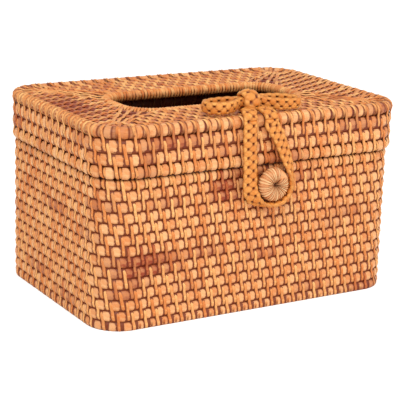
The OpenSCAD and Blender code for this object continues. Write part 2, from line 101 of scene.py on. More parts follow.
# a row of cane: half length, half depth and bend of its line, its height, its middle in Y and a
# number that its stains go by, which counts up from 1 in the wall and from one of these elsewhere
Row = namedtuple("Row", "a b r z y number")
LID_FROM, TOP_FROM, FLOOR_FROM, TIES = 20, 30, 50, 60


def wall_row(k):
    return Row(*WALL, BOTTOM_Z + PITCH * (k - 1), 0, k)


def lid_row(k):
    return Row(*LID, LID_BOTTOM_Z + LID_PITCH * (k - 1), LID_Y, LID_FROM + k)


def top_row(k):
    """A row of the top, from the edge cane, row 0, inwards to the rim of the opening."""
    inset = 0 if k == 0 else EDGE_PITCH + (k - 1) * PITCH
    if k <= 2:
        bend = LID[2] - k * (LID[2] - MITRE_R) / 2
    else:
        bend = MITRE_R + (k - 2) * (OPENING_R - MITRE_R) / (TOP_ROWS - 2)
    return Row(LID[0] - inset, LID[1] - inset, bend, EDGE_Z, LID_Y, TOP_FROM + k)


def floor_row(k):
    """A row of the floor, from the lowest row of the wall, row 0, inwards."""
    pitch = WALL[1] / (FLOOR_ROWS + 1)
    a, b = WALL[0] - k * pitch, WALL[1] - k * pitch
    bend = max(WALL[2] - k * pitch, min(MITRE_R, b - BIND_GAP))
    return Row(a, b, bend, BOTTOM_Z, 0, FLOOR_FROM + k)


# lines that the rows follow


def ring_len(ring):
    a, b, r = ring[:3]
    return 4 * (a - r) + 4 * (b - r) + 2 * math.pi * r


def ring_place(s, ring):
    """Place and heading on a rounded rectangle, s along it from the left end of the front."""
    a, b, r = ring[:3]
    front, side, bend = 2 * (a - r), 2 * (b - r), math.pi * r / 2
    half = front + side + 2 * bend
    s = s % (2 * half)
    turned = s >= half
    if turned:
        s -= half
    if s < front:
        x, y, turn = s - front / 2, -b, 0
    elif s < front + bend:
        turn = (s - front) / r
        x, y = a - r + r * math.sin(turn), r - b - r * math.cos(turn)
    elif s < front + bend + side:
        x, y, turn = a, s - front - bend - side / 2, math.pi / 2
    else:
        turn = (s - front - bend - side) / r
        x, y = a - r + r * math.cos(turn), b - r + r * math.sin(turn)
        turn += math.pi / 2
    return (-x, -y, turn + math.pi) if turned else (x, y, turn)


def stitch_count(ring):
    return 5 * round(ring_len(ring) / (5 * SPACING))


def stitch_step(ring):
    return ring_len(ring) / stitch_count(ring)


def side_start(side, ring):
    """How far along a ring one of its sides starts, from 0 for the front to 3 for the left."""
    a, b, r = ring[:3]
    lengths = [2 * (a - r), 2 * (b - r)]
    return sum(lengths[i % 2] + math.pi * r / 2 for i in range(side))


STEP, LID_STEP = stitch_step(WALL), stitch_step(LID)
SLIP, LID_SLIP = LEAN * PITCH / 2, LEAN * LID_PITCH / 2

# small helpers


def clipped(value):
    return max(0.0, min(1.0, value))


def put(tree, kind, inputs=None, **settings):
    """Adds a node. Inputs are given by socket name or number, as a value or another socket."""
    node = tree.nodes.new(kind)
    for name, value in settings.items():
        setattr(node, name, value)
    for key, value in (inputs or {}).items():
        if isinstance(value, bpy.types.NodeSocket):
            tree.links.new(value, node.inputs[key])
        else:
            node.inputs[key].default_value = value
    return node


def maths(tree, operation, first, second, **settings):
    return put(tree, "ShaderNodeMath", {0: first, 1: second}, operation=operation, **settings).outputs[0]


def new_tree(name, kind, inputs, outputs):
    tree = bpy.data.node_groups.new(name, kind)
    for label, socket, default in inputs:
        item = tree.interface.new_socket(label, in_out="INPUT", socket_type=socket)
        if default is not None:
            item.default_value = default
    for label, socket in outputs:
        tree.interface.new_socket(label, in_out="OUTPUT", socket_type=socket)
    return tree, tree.nodes.new("NodeGroupInput").outputs


def named(tree, name, kind="FLOAT"):
    return put(tree, "GeometryNodeInputNamedAttribute", {"Name": name}, data_type=kind).outputs[0]


def settled(obj, tree, values):
    """Runs a tree on an object and gives it the result as a plain mesh."""
    modifier = obj.modifiers.new(tree.name, "NODES")
    modifier.node_group = tree
    ids = {item.name: item.identifier for item in tree.interface.items_tree if item.in_out == "INPUT"}
    for name, value in values.items():
        modifier[ids[name]] = value
    depsgraph = bpy.context.evaluated_depsgraph_get()
    mesh = bpy.data.meshes.new_from_object(obj.evaluated_get(depsgraph), depsgraph=depsgraph)
    obj.modifiers.remove(modifier)
    obj.data = mesh
    return obj


def new_object(name, mesh):
    obj = bpy.data.objects.new(name, mesh)
    bpy.context.scene.collection.objects.link(obj)
    return obj


def store(mesh, name, values, kind="FLOAT"):
    values = np.asarray(values, np.float32)
    attribute = mesh.attributes.new(name, kind, "POINT")
    attribute.data.foreach_set("vector" if kind == "FLOAT_VECTOR" else "value", values.ravel())


def told(obj, body, node):
    """Says which body an object rides and which node it stands for."""
    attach(obj, body)
    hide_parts(node)
    return obj


def tube_faces(count, sides, closed=False, turned=False):
    """Faces along rings of corners, with the ends joined to each other or capped.

    They point outwards where the rings turn clockwise as one looks along the tube, or else turned.
    """
    faces = []
    for i in range(count if closed else count - 1):
        onward = ((i + 1) % count - i) * sides
        for k in range(sides):
            a, b = i * sides + k, i * sides + (k + 1) % sides
            faces.append((a, b, b + onward, a + onward))
    if not closed:
        faces.append(list(reversed(range(sides))))
        faces.append([(count - 1) * sides + k for k in range(sides)])
    return [(face[0], *face[:0:-1]) for face in faces] if turned else faces


def worked_object(name, verts, faces, looks, finish):
    """An object whose corners each have a lie, tone, stain and painted shade."""
    mesh = bpy.data.meshes.new(name)
    mesh.from_pydata([tuple(v) for v in verts], [], faces)
    mesh.shade_smooth()
    for i, label in enumerate(("lie", "tone", "stain", "valley")):
        store(mesh, label, [look[i] for look in looks], "FLOAT_VECTOR" if label == "lie" else "FLOAT")
    mesh.materials.append(finish)
    return new_object(name, mesh)


# colours


def paint(red, green, blue):
    """A colour as a screen shows it, in the linear values that a shader takes."""
    return tuple(
        v / 12.92 if v <= 0.04045 else ((v + 0.055) / 1.055) ** 2.4
        for v in (c / 255 for c in (red, green, blue))
    ) + (1.0,)


def rattan_group():
    """Fibres, blotches and stains on any piece of rattan, and painted shade in its valleys, cracks and
    holes.
    """
    tree, given = new_tree(
        "Rattan fibre",
        "ShaderNodeTree",
        [
            ("Along and round", "NodeSocketVector", None),
            ("Tone", "NodeSocketFloat", 0.5),
            ("Stain", "NodeSocketFloat", 0.0),
            ("Valley", "NodeSocketFloat", 0.0),
            ("Main", "NodeSocketColor", None),
            ("Pale", "NodeSocketColor", None),
            ("Stained", "NodeSocketColor", None),
            ("Deep", "NodeSocketColor", None),
            ("Fibre depth", "NodeSocketFloat", 0.5),
        ],
        [("Colour", "NodeSocketColor"), ("Roughness", "NodeSocketFloat"), ("Height", "NodeSocketFloat")],
    )
    where = given["Along and round"]

    def noise(scale, detail):
        stretched = put(tree, "ShaderNodeVectorMath", {0: where, 1: scale}, operation="MULTIPLY")
        return put(
            tree,
            "ShaderNodeTexNoise",
            {"Vector": stretched.outputs[0], "Scale": 1.0, "Detail": detail, "Roughness": 0.6},
        ).outputs[0]

    fibre = noise((0.12, 2.6, 2.6), 3)
    blotch = noise((0.16, 0.3, 0.3), 2)
    fleck = noise((0.6, 5.0, 5.0), 1)

    def ranged(value, low, high, to_low=0.0, to_high=1.0):
        return put(
            tree, "ShaderNodeMapRange", {0: value, 1: low, 2: high, 3: to_low, 4: to_high}
        ).outputs[0]

    def mixed(share, first, second):
        return put(tree, "ShaderNodeMix", {0: share, 6: first, 7: second}, data_type="RGBA").outputs[2]

    paleness = maths(tree, "ADD", given["Tone"], ranged(blotch, 0.3, 0.7, -0.35, 0.35))
    stain = maths(tree, "MULTIPLY", given["Stain"], ranged(blotch, 0.35, 0.65, 0.5, 1.2), use_clamp=True)
    streak = maths(tree, "MULTIPLY", ranged(fibre, 0.35, 0.65), 0.30)
    colour = mixed(ranged(paleness, 0.1, 1.0), given["Main"], given["Pale"])
    for share in (stain, streak, ranged(fleck, 0.62, 0.72, 0.0, 0.45)):
        colour = mixed(share, colour, given["Stained"])
    # painted shade: the shade colour is mixed in as far as each point is meant to lie in shade
    colour = mixed(given["Valley"], colour, given["Deep"])
    rough = ranged(fibre, 0.3, 0.7, 0.38, 0.58)
    height = maths(tree, "MULTIPLY", fibre, given["Fibre depth"])
    put(tree, "NodeGroupOutput", {"Colour": colour, "Roughness": rough, "Height": height})
    return tree


RATTAN = rattan_group()
# the colour of the painted shade in valleys, cracks and holes
SHADE_COLOUR = (104, 28, 0)
FIBRE_HEIGHT = 0.2 * MM
PLAIN_LIE = (300, 1000, 1000)  # along X a fibre is drawn out


def rattan(name, main, pale, stained, depth=0.5, worked=True):
    """A finish of rattan. Worked pieces carry their own lie, tone, stain and painted shade."""
    material = bpy.data.materials.new(name)
    material.use_nodes = True
    tree = material.node_tree
    shader = tree.nodes["Principled BSDF"]
    group = put(tree, "ShaderNodeGroup", node_tree=RATTAN)
    for label, colour in (("Main", main), ("Pale", pale), ("Stained", stained), ("Deep", SHADE_COLOUR)):
        group.inputs[label].default_value = paint(*colour)
    group.inputs["Fibre depth"].default_value = depth
    if worked:
        for label, attribute, socket in (
            ("Along and round", "lie", "Vector"),
            ("Tone", "tone", "Fac"),
            ("Stain", "stain", "Fac"),
            ("Valley", "valley", "Fac"),
        ):
            node = put(tree, "ShaderNodeAttribute", attribute_name=attribute)
            tree.links.new(node.outputs[socket], group.inputs[label])
    else:
        place = put(tree, "ShaderNodeTexCoord").outputs["Object"]
        lie = put(tree, "ShaderNodeVectorMath", {0: place, 1: PLAIN_LIE}, operation="MULTIPLY")
        tree.links.new(lie.outputs[0], group.inputs["Along and round"])
    tree.links.new(group.outputs["Colour"], shader.inputs["Base Color"])
    tree.links.new(group.outputs["Roughness"], shader.inputs["Roughness"])
    relief = put(
        tree, "ShaderNodeBump",
        {"Height": group.outputs["Height"], "Distance": FIBRE_HEIGHT, "Strength": 0.6},
    )
    tree.links.new(relief.outputs[0], shader.inputs["Normal"])
    shader.inputs["Specular IOR Level"].default_value = 0.3
    return material


# the main colour of each finish, the pale one that it fades to and the one of its stains
CANE = rattan("Core cane", (222, 138, 74), (251, 192, 132), (154, 64, 30))
# a darker copy of the core cane for the rows of the top, as painted shade in the gaps between their strips
SHADED_TOP_CANE = rattan("Core cane of the top", (186, 96, 50), (222, 138, 82), (140, 54, 20))
PEEL = rattan("Flat peel", (224, 134, 64), (255, 196, 122), (158, 64, 28))
PLAIN_CANE = rattan("Plain core cane", (224, 142, 82), (250, 188, 130), (172, 74, 26), worked=False)
# peel painted dark as shade, for the strap and turns hidden behind the button and under the bow
SHADOW_PEEL = rattan("Dark peel", (112, 50, 20), (138, 68, 30), (86, 32, 10), worked=False)
BRAID = rattan("Plaited peel", (224, 140, 58), (253, 188, 100), (188, 90, 22), 0.6)
BUTTON = rattan("Button peel", (226, 156, 98), (255, 214, 156), (176, 88, 40), 0.6)

# rows of cane


def cane_tree():
    """Sweeps a round cane along a line that carries its own swell and painted shade at each point."""
    tree, given = new_tree(
        "Cane along its row",
        "GeometryNodeTree",
        [
            ("Geometry", "NodeSocketGeometry", None),
            ("Cane radius", "NodeSocketFloat", CANE_R),
            ("Sides", "NodeSocketInt", 12),
            ("Stretch", "NodeSocketVector", None),
            ("Finish", "NodeSocketMaterial", None),
        ],
        [("Geometry", "NodeSocketGeometry")],
    )

    def stored(geometry, name, value, kind):
        return put(
            tree, "GeometryNodeStoreNamedAttribute", {"Geometry": geometry, "Name": name, "Value": value},
            data_type=kind, domain="POINT",
        ).outputs[0]

    line = put(tree, "GeometryNodeMeshToCurve", {"Mesh": given["Geometry"]}).outputs[0]
    section = put(
        tree, "GeometryNodeCurvePrimitiveCircle",
        {"Resolution": given["Sides"], "Radius": given["Cane radius"]},
    ).outputs[0]
    section = put(tree, "GeometryNodeTransform", {"Geometry": section, "Scale": given["Stretch"]}).outputs[0]
    place = put(tree, "GeometryNodeInputPosition").outputs[0]
    around = put(tree, "ShaderNodeVectorMath", {0: place, "Scale": 1000.0}, operation="SCALE").outputs[0]
    section = stored(section, "around", around, "FLOAT_VECTOR")
    swept = put(
        tree, "GeometryNodeCurveToMesh",
        {"Curve": line, "Profile Curve": section, "Scale": named(tree, "swell")},
    ).outputs[0]
    along = put(tree, "ShaderNodeCombineXYZ", {0: named(tree, "along")}).outputs[0]
    lie = put(
        tree, "ShaderNodeVectorMath", {0: along, 1: named(tree, "around", "FLOAT_VECTOR")}, operation="ADD"
    ).outputs[0]
    swept = stored(swept, "lie", lie, "FLOAT_VECTOR")
    # the darkness of each point of the line becomes the cane's painted shade
    swept = stored(swept, "valley", named(tree, "dark"), "FLOAT")
    swept = put(tree, "GeometryNodeSetShadeSmooth", {"Geometry": swept}).outputs[0]
    swept = put(tree, "GeometryNodeSetMaterial", {"Geometry": swept, "Material": given["Finish"]}).outputs[0]
    put(tree, "NodeGroupOutput", {"Geometry": swept})
    return tree


CANE_TREE = cane_tree()
rng = np.random.default_rng(7)

# rows, middle along the row, reach and strength of the darker spots that can be seen
STAINS = [
    ((12, 13), WALL[0] - WALL[2] - 25 * MM, 16 * MM, 1.2),
    ((LID_FROM + 3,), 24 * MM, 34 * MM, 0.9),
    ((LID_FROM + 1, LID_FROM + 2), 6 * MM, 9 * MM, 0.7),
    ((6, 7), 8 * MM, 34 * MM, 1.1),
    ((6, 7), ring_len(WALL), 24 * MM, 1.1),
    ((TOP_FROM + 1, TOP_FROM + 2, TOP_FROM + 3), side_start(3, LID), 45 * MM, 1.3),
]


def stain_at(number, s):
    """How stained a place is, from slow waves that differ from row to row and from the spots."""
    wave = (
        math.sin(s * 38 + number * 1.7)
        + 0.8 * math.sin(s * 91 + number * 4.1)
        + 0.6 * math.sin(s * 17 - number * 0.9)
    )
    stain = (wave - 0.9) * 0.55
    for rows, middle, reach, strength in STAINS:
        if number in rows:
            stain = max(stain, strength * (1 - abs(s - middle) / reach))
    return clipped(stain)


CUT = 0.9 * MM  # a row of cane is cut into steps of this length


def cane_row(name, row, radius=CANE_R, stretch=(1, 1, 1), pads=(), pad_w=0.0, finish=CANE):
    """One row of cane, darkened as painted shade but where pads of light cane bulge between the strips,
    whose edges are painted darkest.
    """
    # painted shade of the bare cane, lighter on a row that has its own pads
    fill, shade_level = (0.98, 0.35) if len(pads) else (1.1, 0.9)
    whole = ring_len(row)
    count = int(whole / CUT)
    step = whole / count
    s = np.arange(count) * step
    points = np.array([(*ring_place(v, row)[:2], row.z) for v in s]) + (0, row.y, 0)
    mesh = bpy.data.meshes.new(name)
    mesh.from_pydata(points.tolist(), [(i, (i + 1) % count) for i in range(count)], [])
    swell, tone, dark = np.full(count, fill), np.full(count, 0.5), np.full(count, shade_level)
    for middle in pads:
        gap = np.abs((s - middle + whole / 2) % whole - whole / 2) / (pad_w / 2)
        swell = np.maximum(swell, fill + 0.08 * np.sqrt(np.clip(1 - gap ** 3, 0, 1)))
        tone[gap < 1.2] = rng.uniform(0.2, 0.85)
        near = gap < 1.25
        # painted shade: none on a pad, full round its edge
        dark[near] = np.where(gap[near] < 0.82, 0.0, 1.0)
    store(mesh, "swell", swell)
    store(mesh, "along", s * 1000 + 50 * row.number)
    store(mesh, "tone", tone)
    store(mesh, "dark", dark)
    store(mesh, "stain", [stain_at(row.number, v) for v in s])
    obj = settled(
        new_object(name, mesh),
        CANE_TREE,
        {"Cane radius": radius, "Sides": 12, "Stretch": stretch, "Finish": finish},
    )
    level(obj)
    return obj


def level(obj):
    """Grinds off what lies below the ground."""
    corners = np.array([v.co for v in obj.data.vertices])
    if corners[:, 2].min() < 0:
        corners[:, 2] = np.maximum(corners[:, 2], 0)
        obj.data.vertices.foreach_set("co", corners.ravel())


# peel stitches

# a cut through the peel, in shares of its width and of its thickness
PROFILE = [(-0.5, -0.1), (-0.38, 0.85), (0.0, 1.35), (0.38, 0.85), (0.5, -0.1)]
DIP = 0.8 * MM  # how far a strip sags into the crack between two canes
BESIDE_CROWN = 0.4  # how far round a cane, past its crown, a strip still lies on it, in radians
# the peel is drawn into the edge cane, and into the rows that meet at the seam
DRAWN_R = EDGE_CANE_R - 0.3 * MM
RIM_SINK = 0.2 * MM
# the turns of a hinge tie: how high, how wide, how far apart and how far off the canes they are
TIE_SPAN, TIE_TURN_W, TIE_EVERY, TIE_LOOSE = 7.7 * MM, 2.3 * MM, 2.4 * MM, 0.2 * MM
# the turns round the opening, and how far the wrapped part of the edge cane goes round its corners
OPENING_TURN_W, OPENING_EVERY = 2.6 * MM, 2.25 * MM
WRAP_BACK, WRAP_FRONT, WRAP_IN = 6 * MM, 2 * MM, 1.2 * MM


def band_mesh(name, loop, width, lean=0.0, middle=0.0, shade=0.8):
    """A closed band of peel through rings given as centre, radius and angle, X across and Z out. Its edges,
    and as far as shade says the parts that turn away from the front, are painted dark as shade.
    """
    verts, lie, valley = [], [], []
    run, last = 0.0, None
    for centre, radius, angle in loop:
        out_y, out_z = math.cos(angle), math.sin(angle)
        here = (centre + radius * out_y, radius * out_z)
        run += 0 if last is None else math.dist(here, last)
        last = here
        narrowed = width * (1 - 0.3 * clipped((0.75 - out_z) / 0.75))
        # painted shade where the peel turns away from the front, and nearly full on its edges
        in_shade = shade * clipped((0.5 - out_z) / 0.7)
        for x, t in PROFILE:
            reach = radius + BIND_GAP + t * PEEL_T
            y = centre + reach * out_y
            verts.append((x * narrowed - lean * (y - middle), y, reach * out_z))
            lie.append((run * 1000, x * width * 1000, t))
            valley.append(max(0.9, in_shade) if abs(x) == 0.5 else in_shade)
    faces = tube_faces(len(loop), len(PROFILE), closed=True, turned=True)
    return piece(name, verts, faces, lie, valley)


def piece(name, verts, faces, lie, valley):
    """A small mesh, kept out of the scene, that is set at many marks."""
    mesh = bpy.data.meshes.new(name)
    mesh.from_pydata(verts, [], faces)
    mesh.shade_smooth()
    store(mesh, "lie", lie, "FLOAT_VECTOR")
    store(mesh, "valley", valley)
    return bpy.data.objects.new(name, mesh)


def stitch_mesh(name, span, near_r, far_r, width=STRIP_W, lean=LEAN):
    """A stitch round two canes, Y from the near cane to the far one, sagging a little between them."""
    arc = [math.pi * k / 5 for k in range(6)]
    between = (near_r + far_r) / 2
    loop = [(0.0, near_r, math.pi / 2 + a) for a in arc]
    loop.append((span / 2, between, -math.pi / 2))
    loop += [(span, far_r, -math.pi / 2 + a) for a in arc]
    loop.append((span, far_r, math.pi / 2 + BESIDE_CROWN))
    loop.append((span / 2, between - DIP, math.pi / 2))
    loop.append((0.0, near_r, math.pi / 2 - BESIDE_CROWN))
    return band_mesh(name, loop, width, lean, span / 2)


def turn_mesh(name, radius, width, lean=0.0, shade=0.8):
    """A single turn of peel round one cane."""
    loop = [(0.0, radius, math.pi * k / 5) for k in range(10)]
    return band_mesh(name, loop, width, lean, 0.0, shade)


def pad_mesh(name, width, height, out, rim_shade=0.12):
    """The full place where a cane shows between two strips: X along, Y up, Z out. Its rim is painted dark as
    shade, most on the right and round the upper right corner, and the last argument says how dark the ring
    just inside the rim is.
    """
    verts, lie, valley = [], [], []
    grid = [-1, -0.88, -0.5, 0, 0.5, 0.88, 1]
    for v in grid:
        for u in grid:
            left, right, top, bottom = max(0, -u), max(0, u), max(0, v), max(0, -v)
            # the upper right corner is the roundest, and the left side goes under a strip
            round_off = 0.12 + 0.65 * right * top + 0.3 * right * bottom - 0.06 * left
            x = u * (1 - round_off * v * v * 0.62) * width / 2
            y = v * (1 - round_off * u * u * 0.5) * height / 2
            fall = max(0.0, 1 - abs(y / (0.53 * height)) ** 2.6) ** (1 / 2.6)
            z = out * fall * (1 - 0.09 * left ** 3 - 0.2 * right ** 3)
            verts.append((x, y, z))
            lie.append((x * 1000, y * 1000, 0))
            # painted shade: full at the rim, less just inside it, and more toward the right and the upper
            # right corner
            rim = max(abs(u), abs(v))
            if rim == 1:
                dark = 1.0
            elif rim > 0.8:
                dark = max(rim_shade, 0.5) if u > 0.8 else rim_shade
            else:
                dark = 0.0
            valley.append(dark + (1 - dark) * 0.5 * (right * top) ** 2)
    n = len(grid)
    faces = []
    for i in range(n - 1):
        for k in range(n - 1):
            a = i * n + k
            faces.append((a, a + 1, a + n + 1, a + n))
    return piece(name, verts, faces, lie, valley)


def stitch_tree():
    """Sets a stitch at every mark, each a little wider or narrower and turned than the last."""
    tree, given = new_tree(
        "Stitch at every mark",
        "GeometryNodeTree",
        [
            ("Geometry", "NodeSocketGeometry", None),
            ("Stitch", "NodeSocketObject", None),
            ("Sway", "NodeSocketFloat", 0.05),
            ("Width spread", "NodeSocketFloat", 0.12),
            ("Seed", "NodeSocketInt", 3),
            ("Finish", "NodeSocketMaterial", None),
        ],
        [("Geometry", "NodeSocketGeometry")],
    )
    stitch = put(tree, "GeometryNodeObjectInfo", {"Object": given["Stitch"]}).outputs["Geometry"]

    def any_between(low, high, **more):
        inputs = {2: low, 3: high, "Seed": given["Seed"], **more}
        return put(tree, "FunctionNodeRandomValue", inputs, data_type="FLOAT").outputs[1]

    sway = any_between(maths(tree, "MULTIPLY", given["Sway"], -1.0), given["Sway"])
    sway = put(tree, "ShaderNodeCombineXYZ", {2: sway}).outputs[0]
    tilt = put(tree, "FunctionNodeEulerToRotation", {0: sway}).outputs[0]
    facing = put(tree, "FunctionNodeEulerToRotation", {0: named(tree, "turn", "FLOAT_VECTOR")}).outputs[0]
    turned = put(
        tree, "FunctionNodeRotateRotation", {"Rotation": facing, "Rotate By": tilt}, rotation_space="LOCAL"
    ).outputs[0]
    girth = any_between(
        maths(tree, "SUBTRACT", 1.0, given["Width spread"]),
        maths(tree, "ADD", 1.0, given["Width spread"]),
        ID=put(tree, "GeometryNodeInputIndex").outputs[0],
    )
    size = put(tree, "ShaderNodeCombineXYZ", {0: girth, 1: 1.0, 2: 1.0}).outputs[0]
    placed = put(
        tree,
        "GeometryNodeInstanceOnPoints",
        {"Points": given["Geometry"], "Instance": stitch, "Rotation": turned, "Scale": size},
    ).outputs[0]
    real = put(tree, "GeometryNodeRealizeInstances", {"Geometry": placed}).outputs[0]
    real = put(tree, "GeometryNodeSetMaterial", {"Geometry": real, "Material": given["Finish"]}).outputs[0]
    put(tree, "NodeGroupOutput", {"Geometry": real})
    return tree


STITCH_TREE = stitch_tree()


def mark(place, along, up, number, s, tone=None):
    """Where a stitch goes: its place, the way it faces, its tone and its stain."""
    along, up = Vector(along).normalized(), Vector(up).normalized()
    turn = Matrix((along, up, along.cross(up))).transposed().to_euler()
    tone = rng.uniform(0.1, 0.9) if tone is None else tone
    return (tuple(place), tuple(turn), tone, stain_at(number, s))


def placed(name, groups, finish, sway=0.05, spread=0.1):
    """One plain mesh of all the pieces of a node, from groups of a small mesh and its marks."""
    parts = []
    for i, (small, marks) in enumerate(groups):
        if not marks:
            continue
        mesh = bpy.data.meshes.new(f"{name}_marks_{i}")
        mesh.from_pydata([m[0] for m in marks], [], [])
        store(mesh, "turn", [m[1] for m in marks], "FLOAT_VECTOR")
        store(mesh, "tone", [m[2] for m in marks])
        store(mesh, "stain", [m[3] for m in marks])
        parts.append(
            settled(
                new_object(f"{name}_{i}", mesh),
                STITCH_TREE,
                {"Stitch": small, "Sway": sway, "Width spread": spread, "Seed": 11 + i, "Finish": finish},
            )
        )
    obj = joined(name, parts)
    level(obj)
    return obj


def joined(name, parts):
    """Joins objects into the first of them, under a new name."""
    if len(parts) > 1:
        with bpy.context.temp_override(
            active_object=parts[0], selected_editable_objects=parts, selected_objects=parts
        ):
            bpy.ops.object.join()
    parts[0].name = name
    parts[0].data.name = name
    return parts[0]


def is_by(x, middle, width):
    """Whether a stitch at x would run into other peel of that width round the same canes."""
    return abs(x - middle) < (width + PEEL_W) / 2 + TIE_GAP


def ring_mark(row, s, tone=None):
    """A mark on an upright row."""
    x, y, turn = ring_place(s, row)
    return mark((x, y + row.y, row.z), (math.cos(turn), math.sin(turn), 0), UP, row.number, s, tone)


def wall_marks(row, shift, tie=False, shank=False, slip=0.0):
    """Marks of the pair of upright rows that starts with this one, all the way round."""
    step, marks = stitch_step(row), []
    for i in range(stitch_count(row)):
        s = ((i + shift) * step) % ring_len(row)
        x, _, turn = ring_place(s, row)
        if tie and abs(turn - math.pi) < 1e-6 and is_by(abs(x), TIE_OFFSET, TIE_W):
            continue
        if shank and abs(turn) < 1e-6 and is_by(x, BUTTON_X, SHANK_W):
            continue
        marks.append(ring_mark(row, s + slip))
    return marks


# how far a pad goes under the strip on its left, and how wide the crack on its right is
TUCK, CRACK = 0.8 * MM, 0.14 * MM
AROUND = 1.2  # how much wider pads are round the corners
# how far pads stand out from the middle of their cane, and how much lower than the pitch they are
PAD_OUT, LID_PAD_OUT, TOP_PAD_OUT = 3.15 * MM, 3.55 * MM, 2.85 * MM
PAD_LESS, LID_PAD_LESS, TOP_PAD_LESS = 0.22 * MM, 0.25 * MM, 1.1 * MM
PACKING_SUNK, PACKING_EVERY = 1.2 * MM, 3.4 * MM
# the slim cane that packs the crack beside the thick edge cane
SLIM_R, SLIM_IN, SLIM_SUNK = 1.3 * MM, 0.55 * MM, 0.8 * MM


def pad_span(step, slip):
    """Middle and width of a pad, tucked under the strip on its left, with a crack on its right."""
    left = STRIP_W / 2 - slip - TUCK
    right = (ROW_SHIFT % 1) * step + slip - STRIP_W / 2 - CRACK
    return (left + right) / 2, right - left


def wall_pads(row, shift_below, slip):
    """Marks of the pads on an upright row, each from a strip to the row below to one to the row above."""
    step = stitch_step(row)
    middle = pad_span(step, slip)[0]
    return [
        ring_mark(row, ((i + shift_below) * step + middle) % ring_len(row), rng.uniform(0.3, 1.0))
        for i in range(stitch_count(row))
    ]


def side_mark(row, side, u, number, s, tone):
    """A mark on a straight side of a flat row, facing up, u from the middle of the side."""
    turn = side * math.pi / 2
    along = (math.cos(turn), math.sin(turn), 0)
    inward = (-math.sin(turn), math.cos(turn), 0)
    out = row.b if side % 2 == 0 else row.a
    place = (u * along[0] - out * inward[0], u * along[1] - out * inward[1] + row.y, row.z)
    return mark(place, along, inward, number, s, tone)


def flat_marks(outer, inner, grid, shift, offset=0.0, bow=False, over=0.3):
    """Marks on the straight sides of a flat row, on the grid that all the rows share."""
    step, marks = stitch_step(grid), []
    for side in range(4):
        reach = ((inner.a if side % 2 == 0 else inner.b) - inner.r) + over * inner.r
        length = 2 * (grid[0] - grid[2]) if side % 2 == 0 else 2 * (grid[1] - grid[2])
        start = side_start(side, grid)
        first = math.floor(start / step - shift)
        last = math.ceil((start + length) / step - shift)
        for i in range(first, last + 1):
            u = (i + shift) * step - start - length / 2
            if bow and side == 0 and is_by(u, KNOT_X, SHANK_W):
                continue
            u += offset
            if abs(u) <= reach:
                marks.append(side_mark(outer, side, u, inner.number, start + u, rng.uniform(0.2, 1.0)))
    return marks


def corner_point(row, corner, share):
    """A place on the bend of a flat row, a share of the way round it."""
    across, deep = (row.a, row.b) if corner % 2 == 0 else (row.b, row.a)
    angle, turn = share * math.pi / 2, corner * math.pi / 2
    x, y = across - row.r + row.r * math.sin(angle), -(deep - row.r) - row.r * math.cos(angle)
    return Vector((
        x * math.cos(turn) - y * math.sin(turn), x * math.sin(turn) + y * math.cos(turn) + row.y, row.z
    ))


def corner_marks(outer, inner):
    """Marks across the mitre of a pair of flat rows, with the span that each share of the turn needs."""
    groups = []
    for share in (0.08, 0.36, 0.64, 0.92):
        marks, span = [], 0
        for corner in range(4):
            start, end = (corner_point(row, corner, share) for row in (outer, inner))
            inward = end - start
            span = inward.length
            marks.append(mark(start, inward.normalized().cross(UP), inward, inner.number, 0.1 * corner))
        groups.append((span, marks))
    return groups


def arc_pads(row, every=6.6 * MM):
    """Pads round the corners of a flat row."""
    count = max(1, round(math.pi * row.r / 2 / every))
    marks = []
    for corner in range(4):
        for k in range(count):
            place = corner_point(row, corner, (k + 0.5) / count)
            turn = corner * math.pi / 2 + math.pi / 2 * (k + 0.5) / count
            along = (math.cos(turn), math.sin(turn), 0)
            tone = rng.uniform(0.3, 1.0)
            marks.append(mark(place, along, (-along[1], along[0], 0), row.number, k, tone))
    return marks


def round_marks(row, every):
    """Marks all the way round a flat row, for turns that lie side by side."""
    count, marks = round(ring_len(row) / every), []
    for i in range(count):
        s = i * ring_len(row) / count
        x, y, turn = ring_place(s, row)
        along = (math.cos(turn), math.sin(turn), 0)
        marks.append(mark((x, y + row.y, row.z), along, (-along[1], along[0], 0), row.number, s))
    return marks


def on_left(s):
    """Whether a place on the lid is on its left side, where the edge cane is wrapped all over."""
    start = side_start(3, LID)
    return start - WRAP_BACK < s < start + 2 * (LID[1] - LID[2]) + WRAP_FRONT


def by_corner(marks, straight, wide, row):
    """Parts marks into those on the straights and, for the wider mesh, those round the corners."""
    bent = [m for m in marks if abs(m[0][0]) > row.a - row.r and abs(m[0][1] - row.y) > row.b - row.r]
    return [(straight, [m for m in marks if m not in bent]), (wide, bent)]


def with_pads(cane, groups, name, finish=CANE):
    """Joins pads to their own row of cane."""
    return joined(cane.name, [cane, placed(name, groups, finish, 0.06, 0.08)])


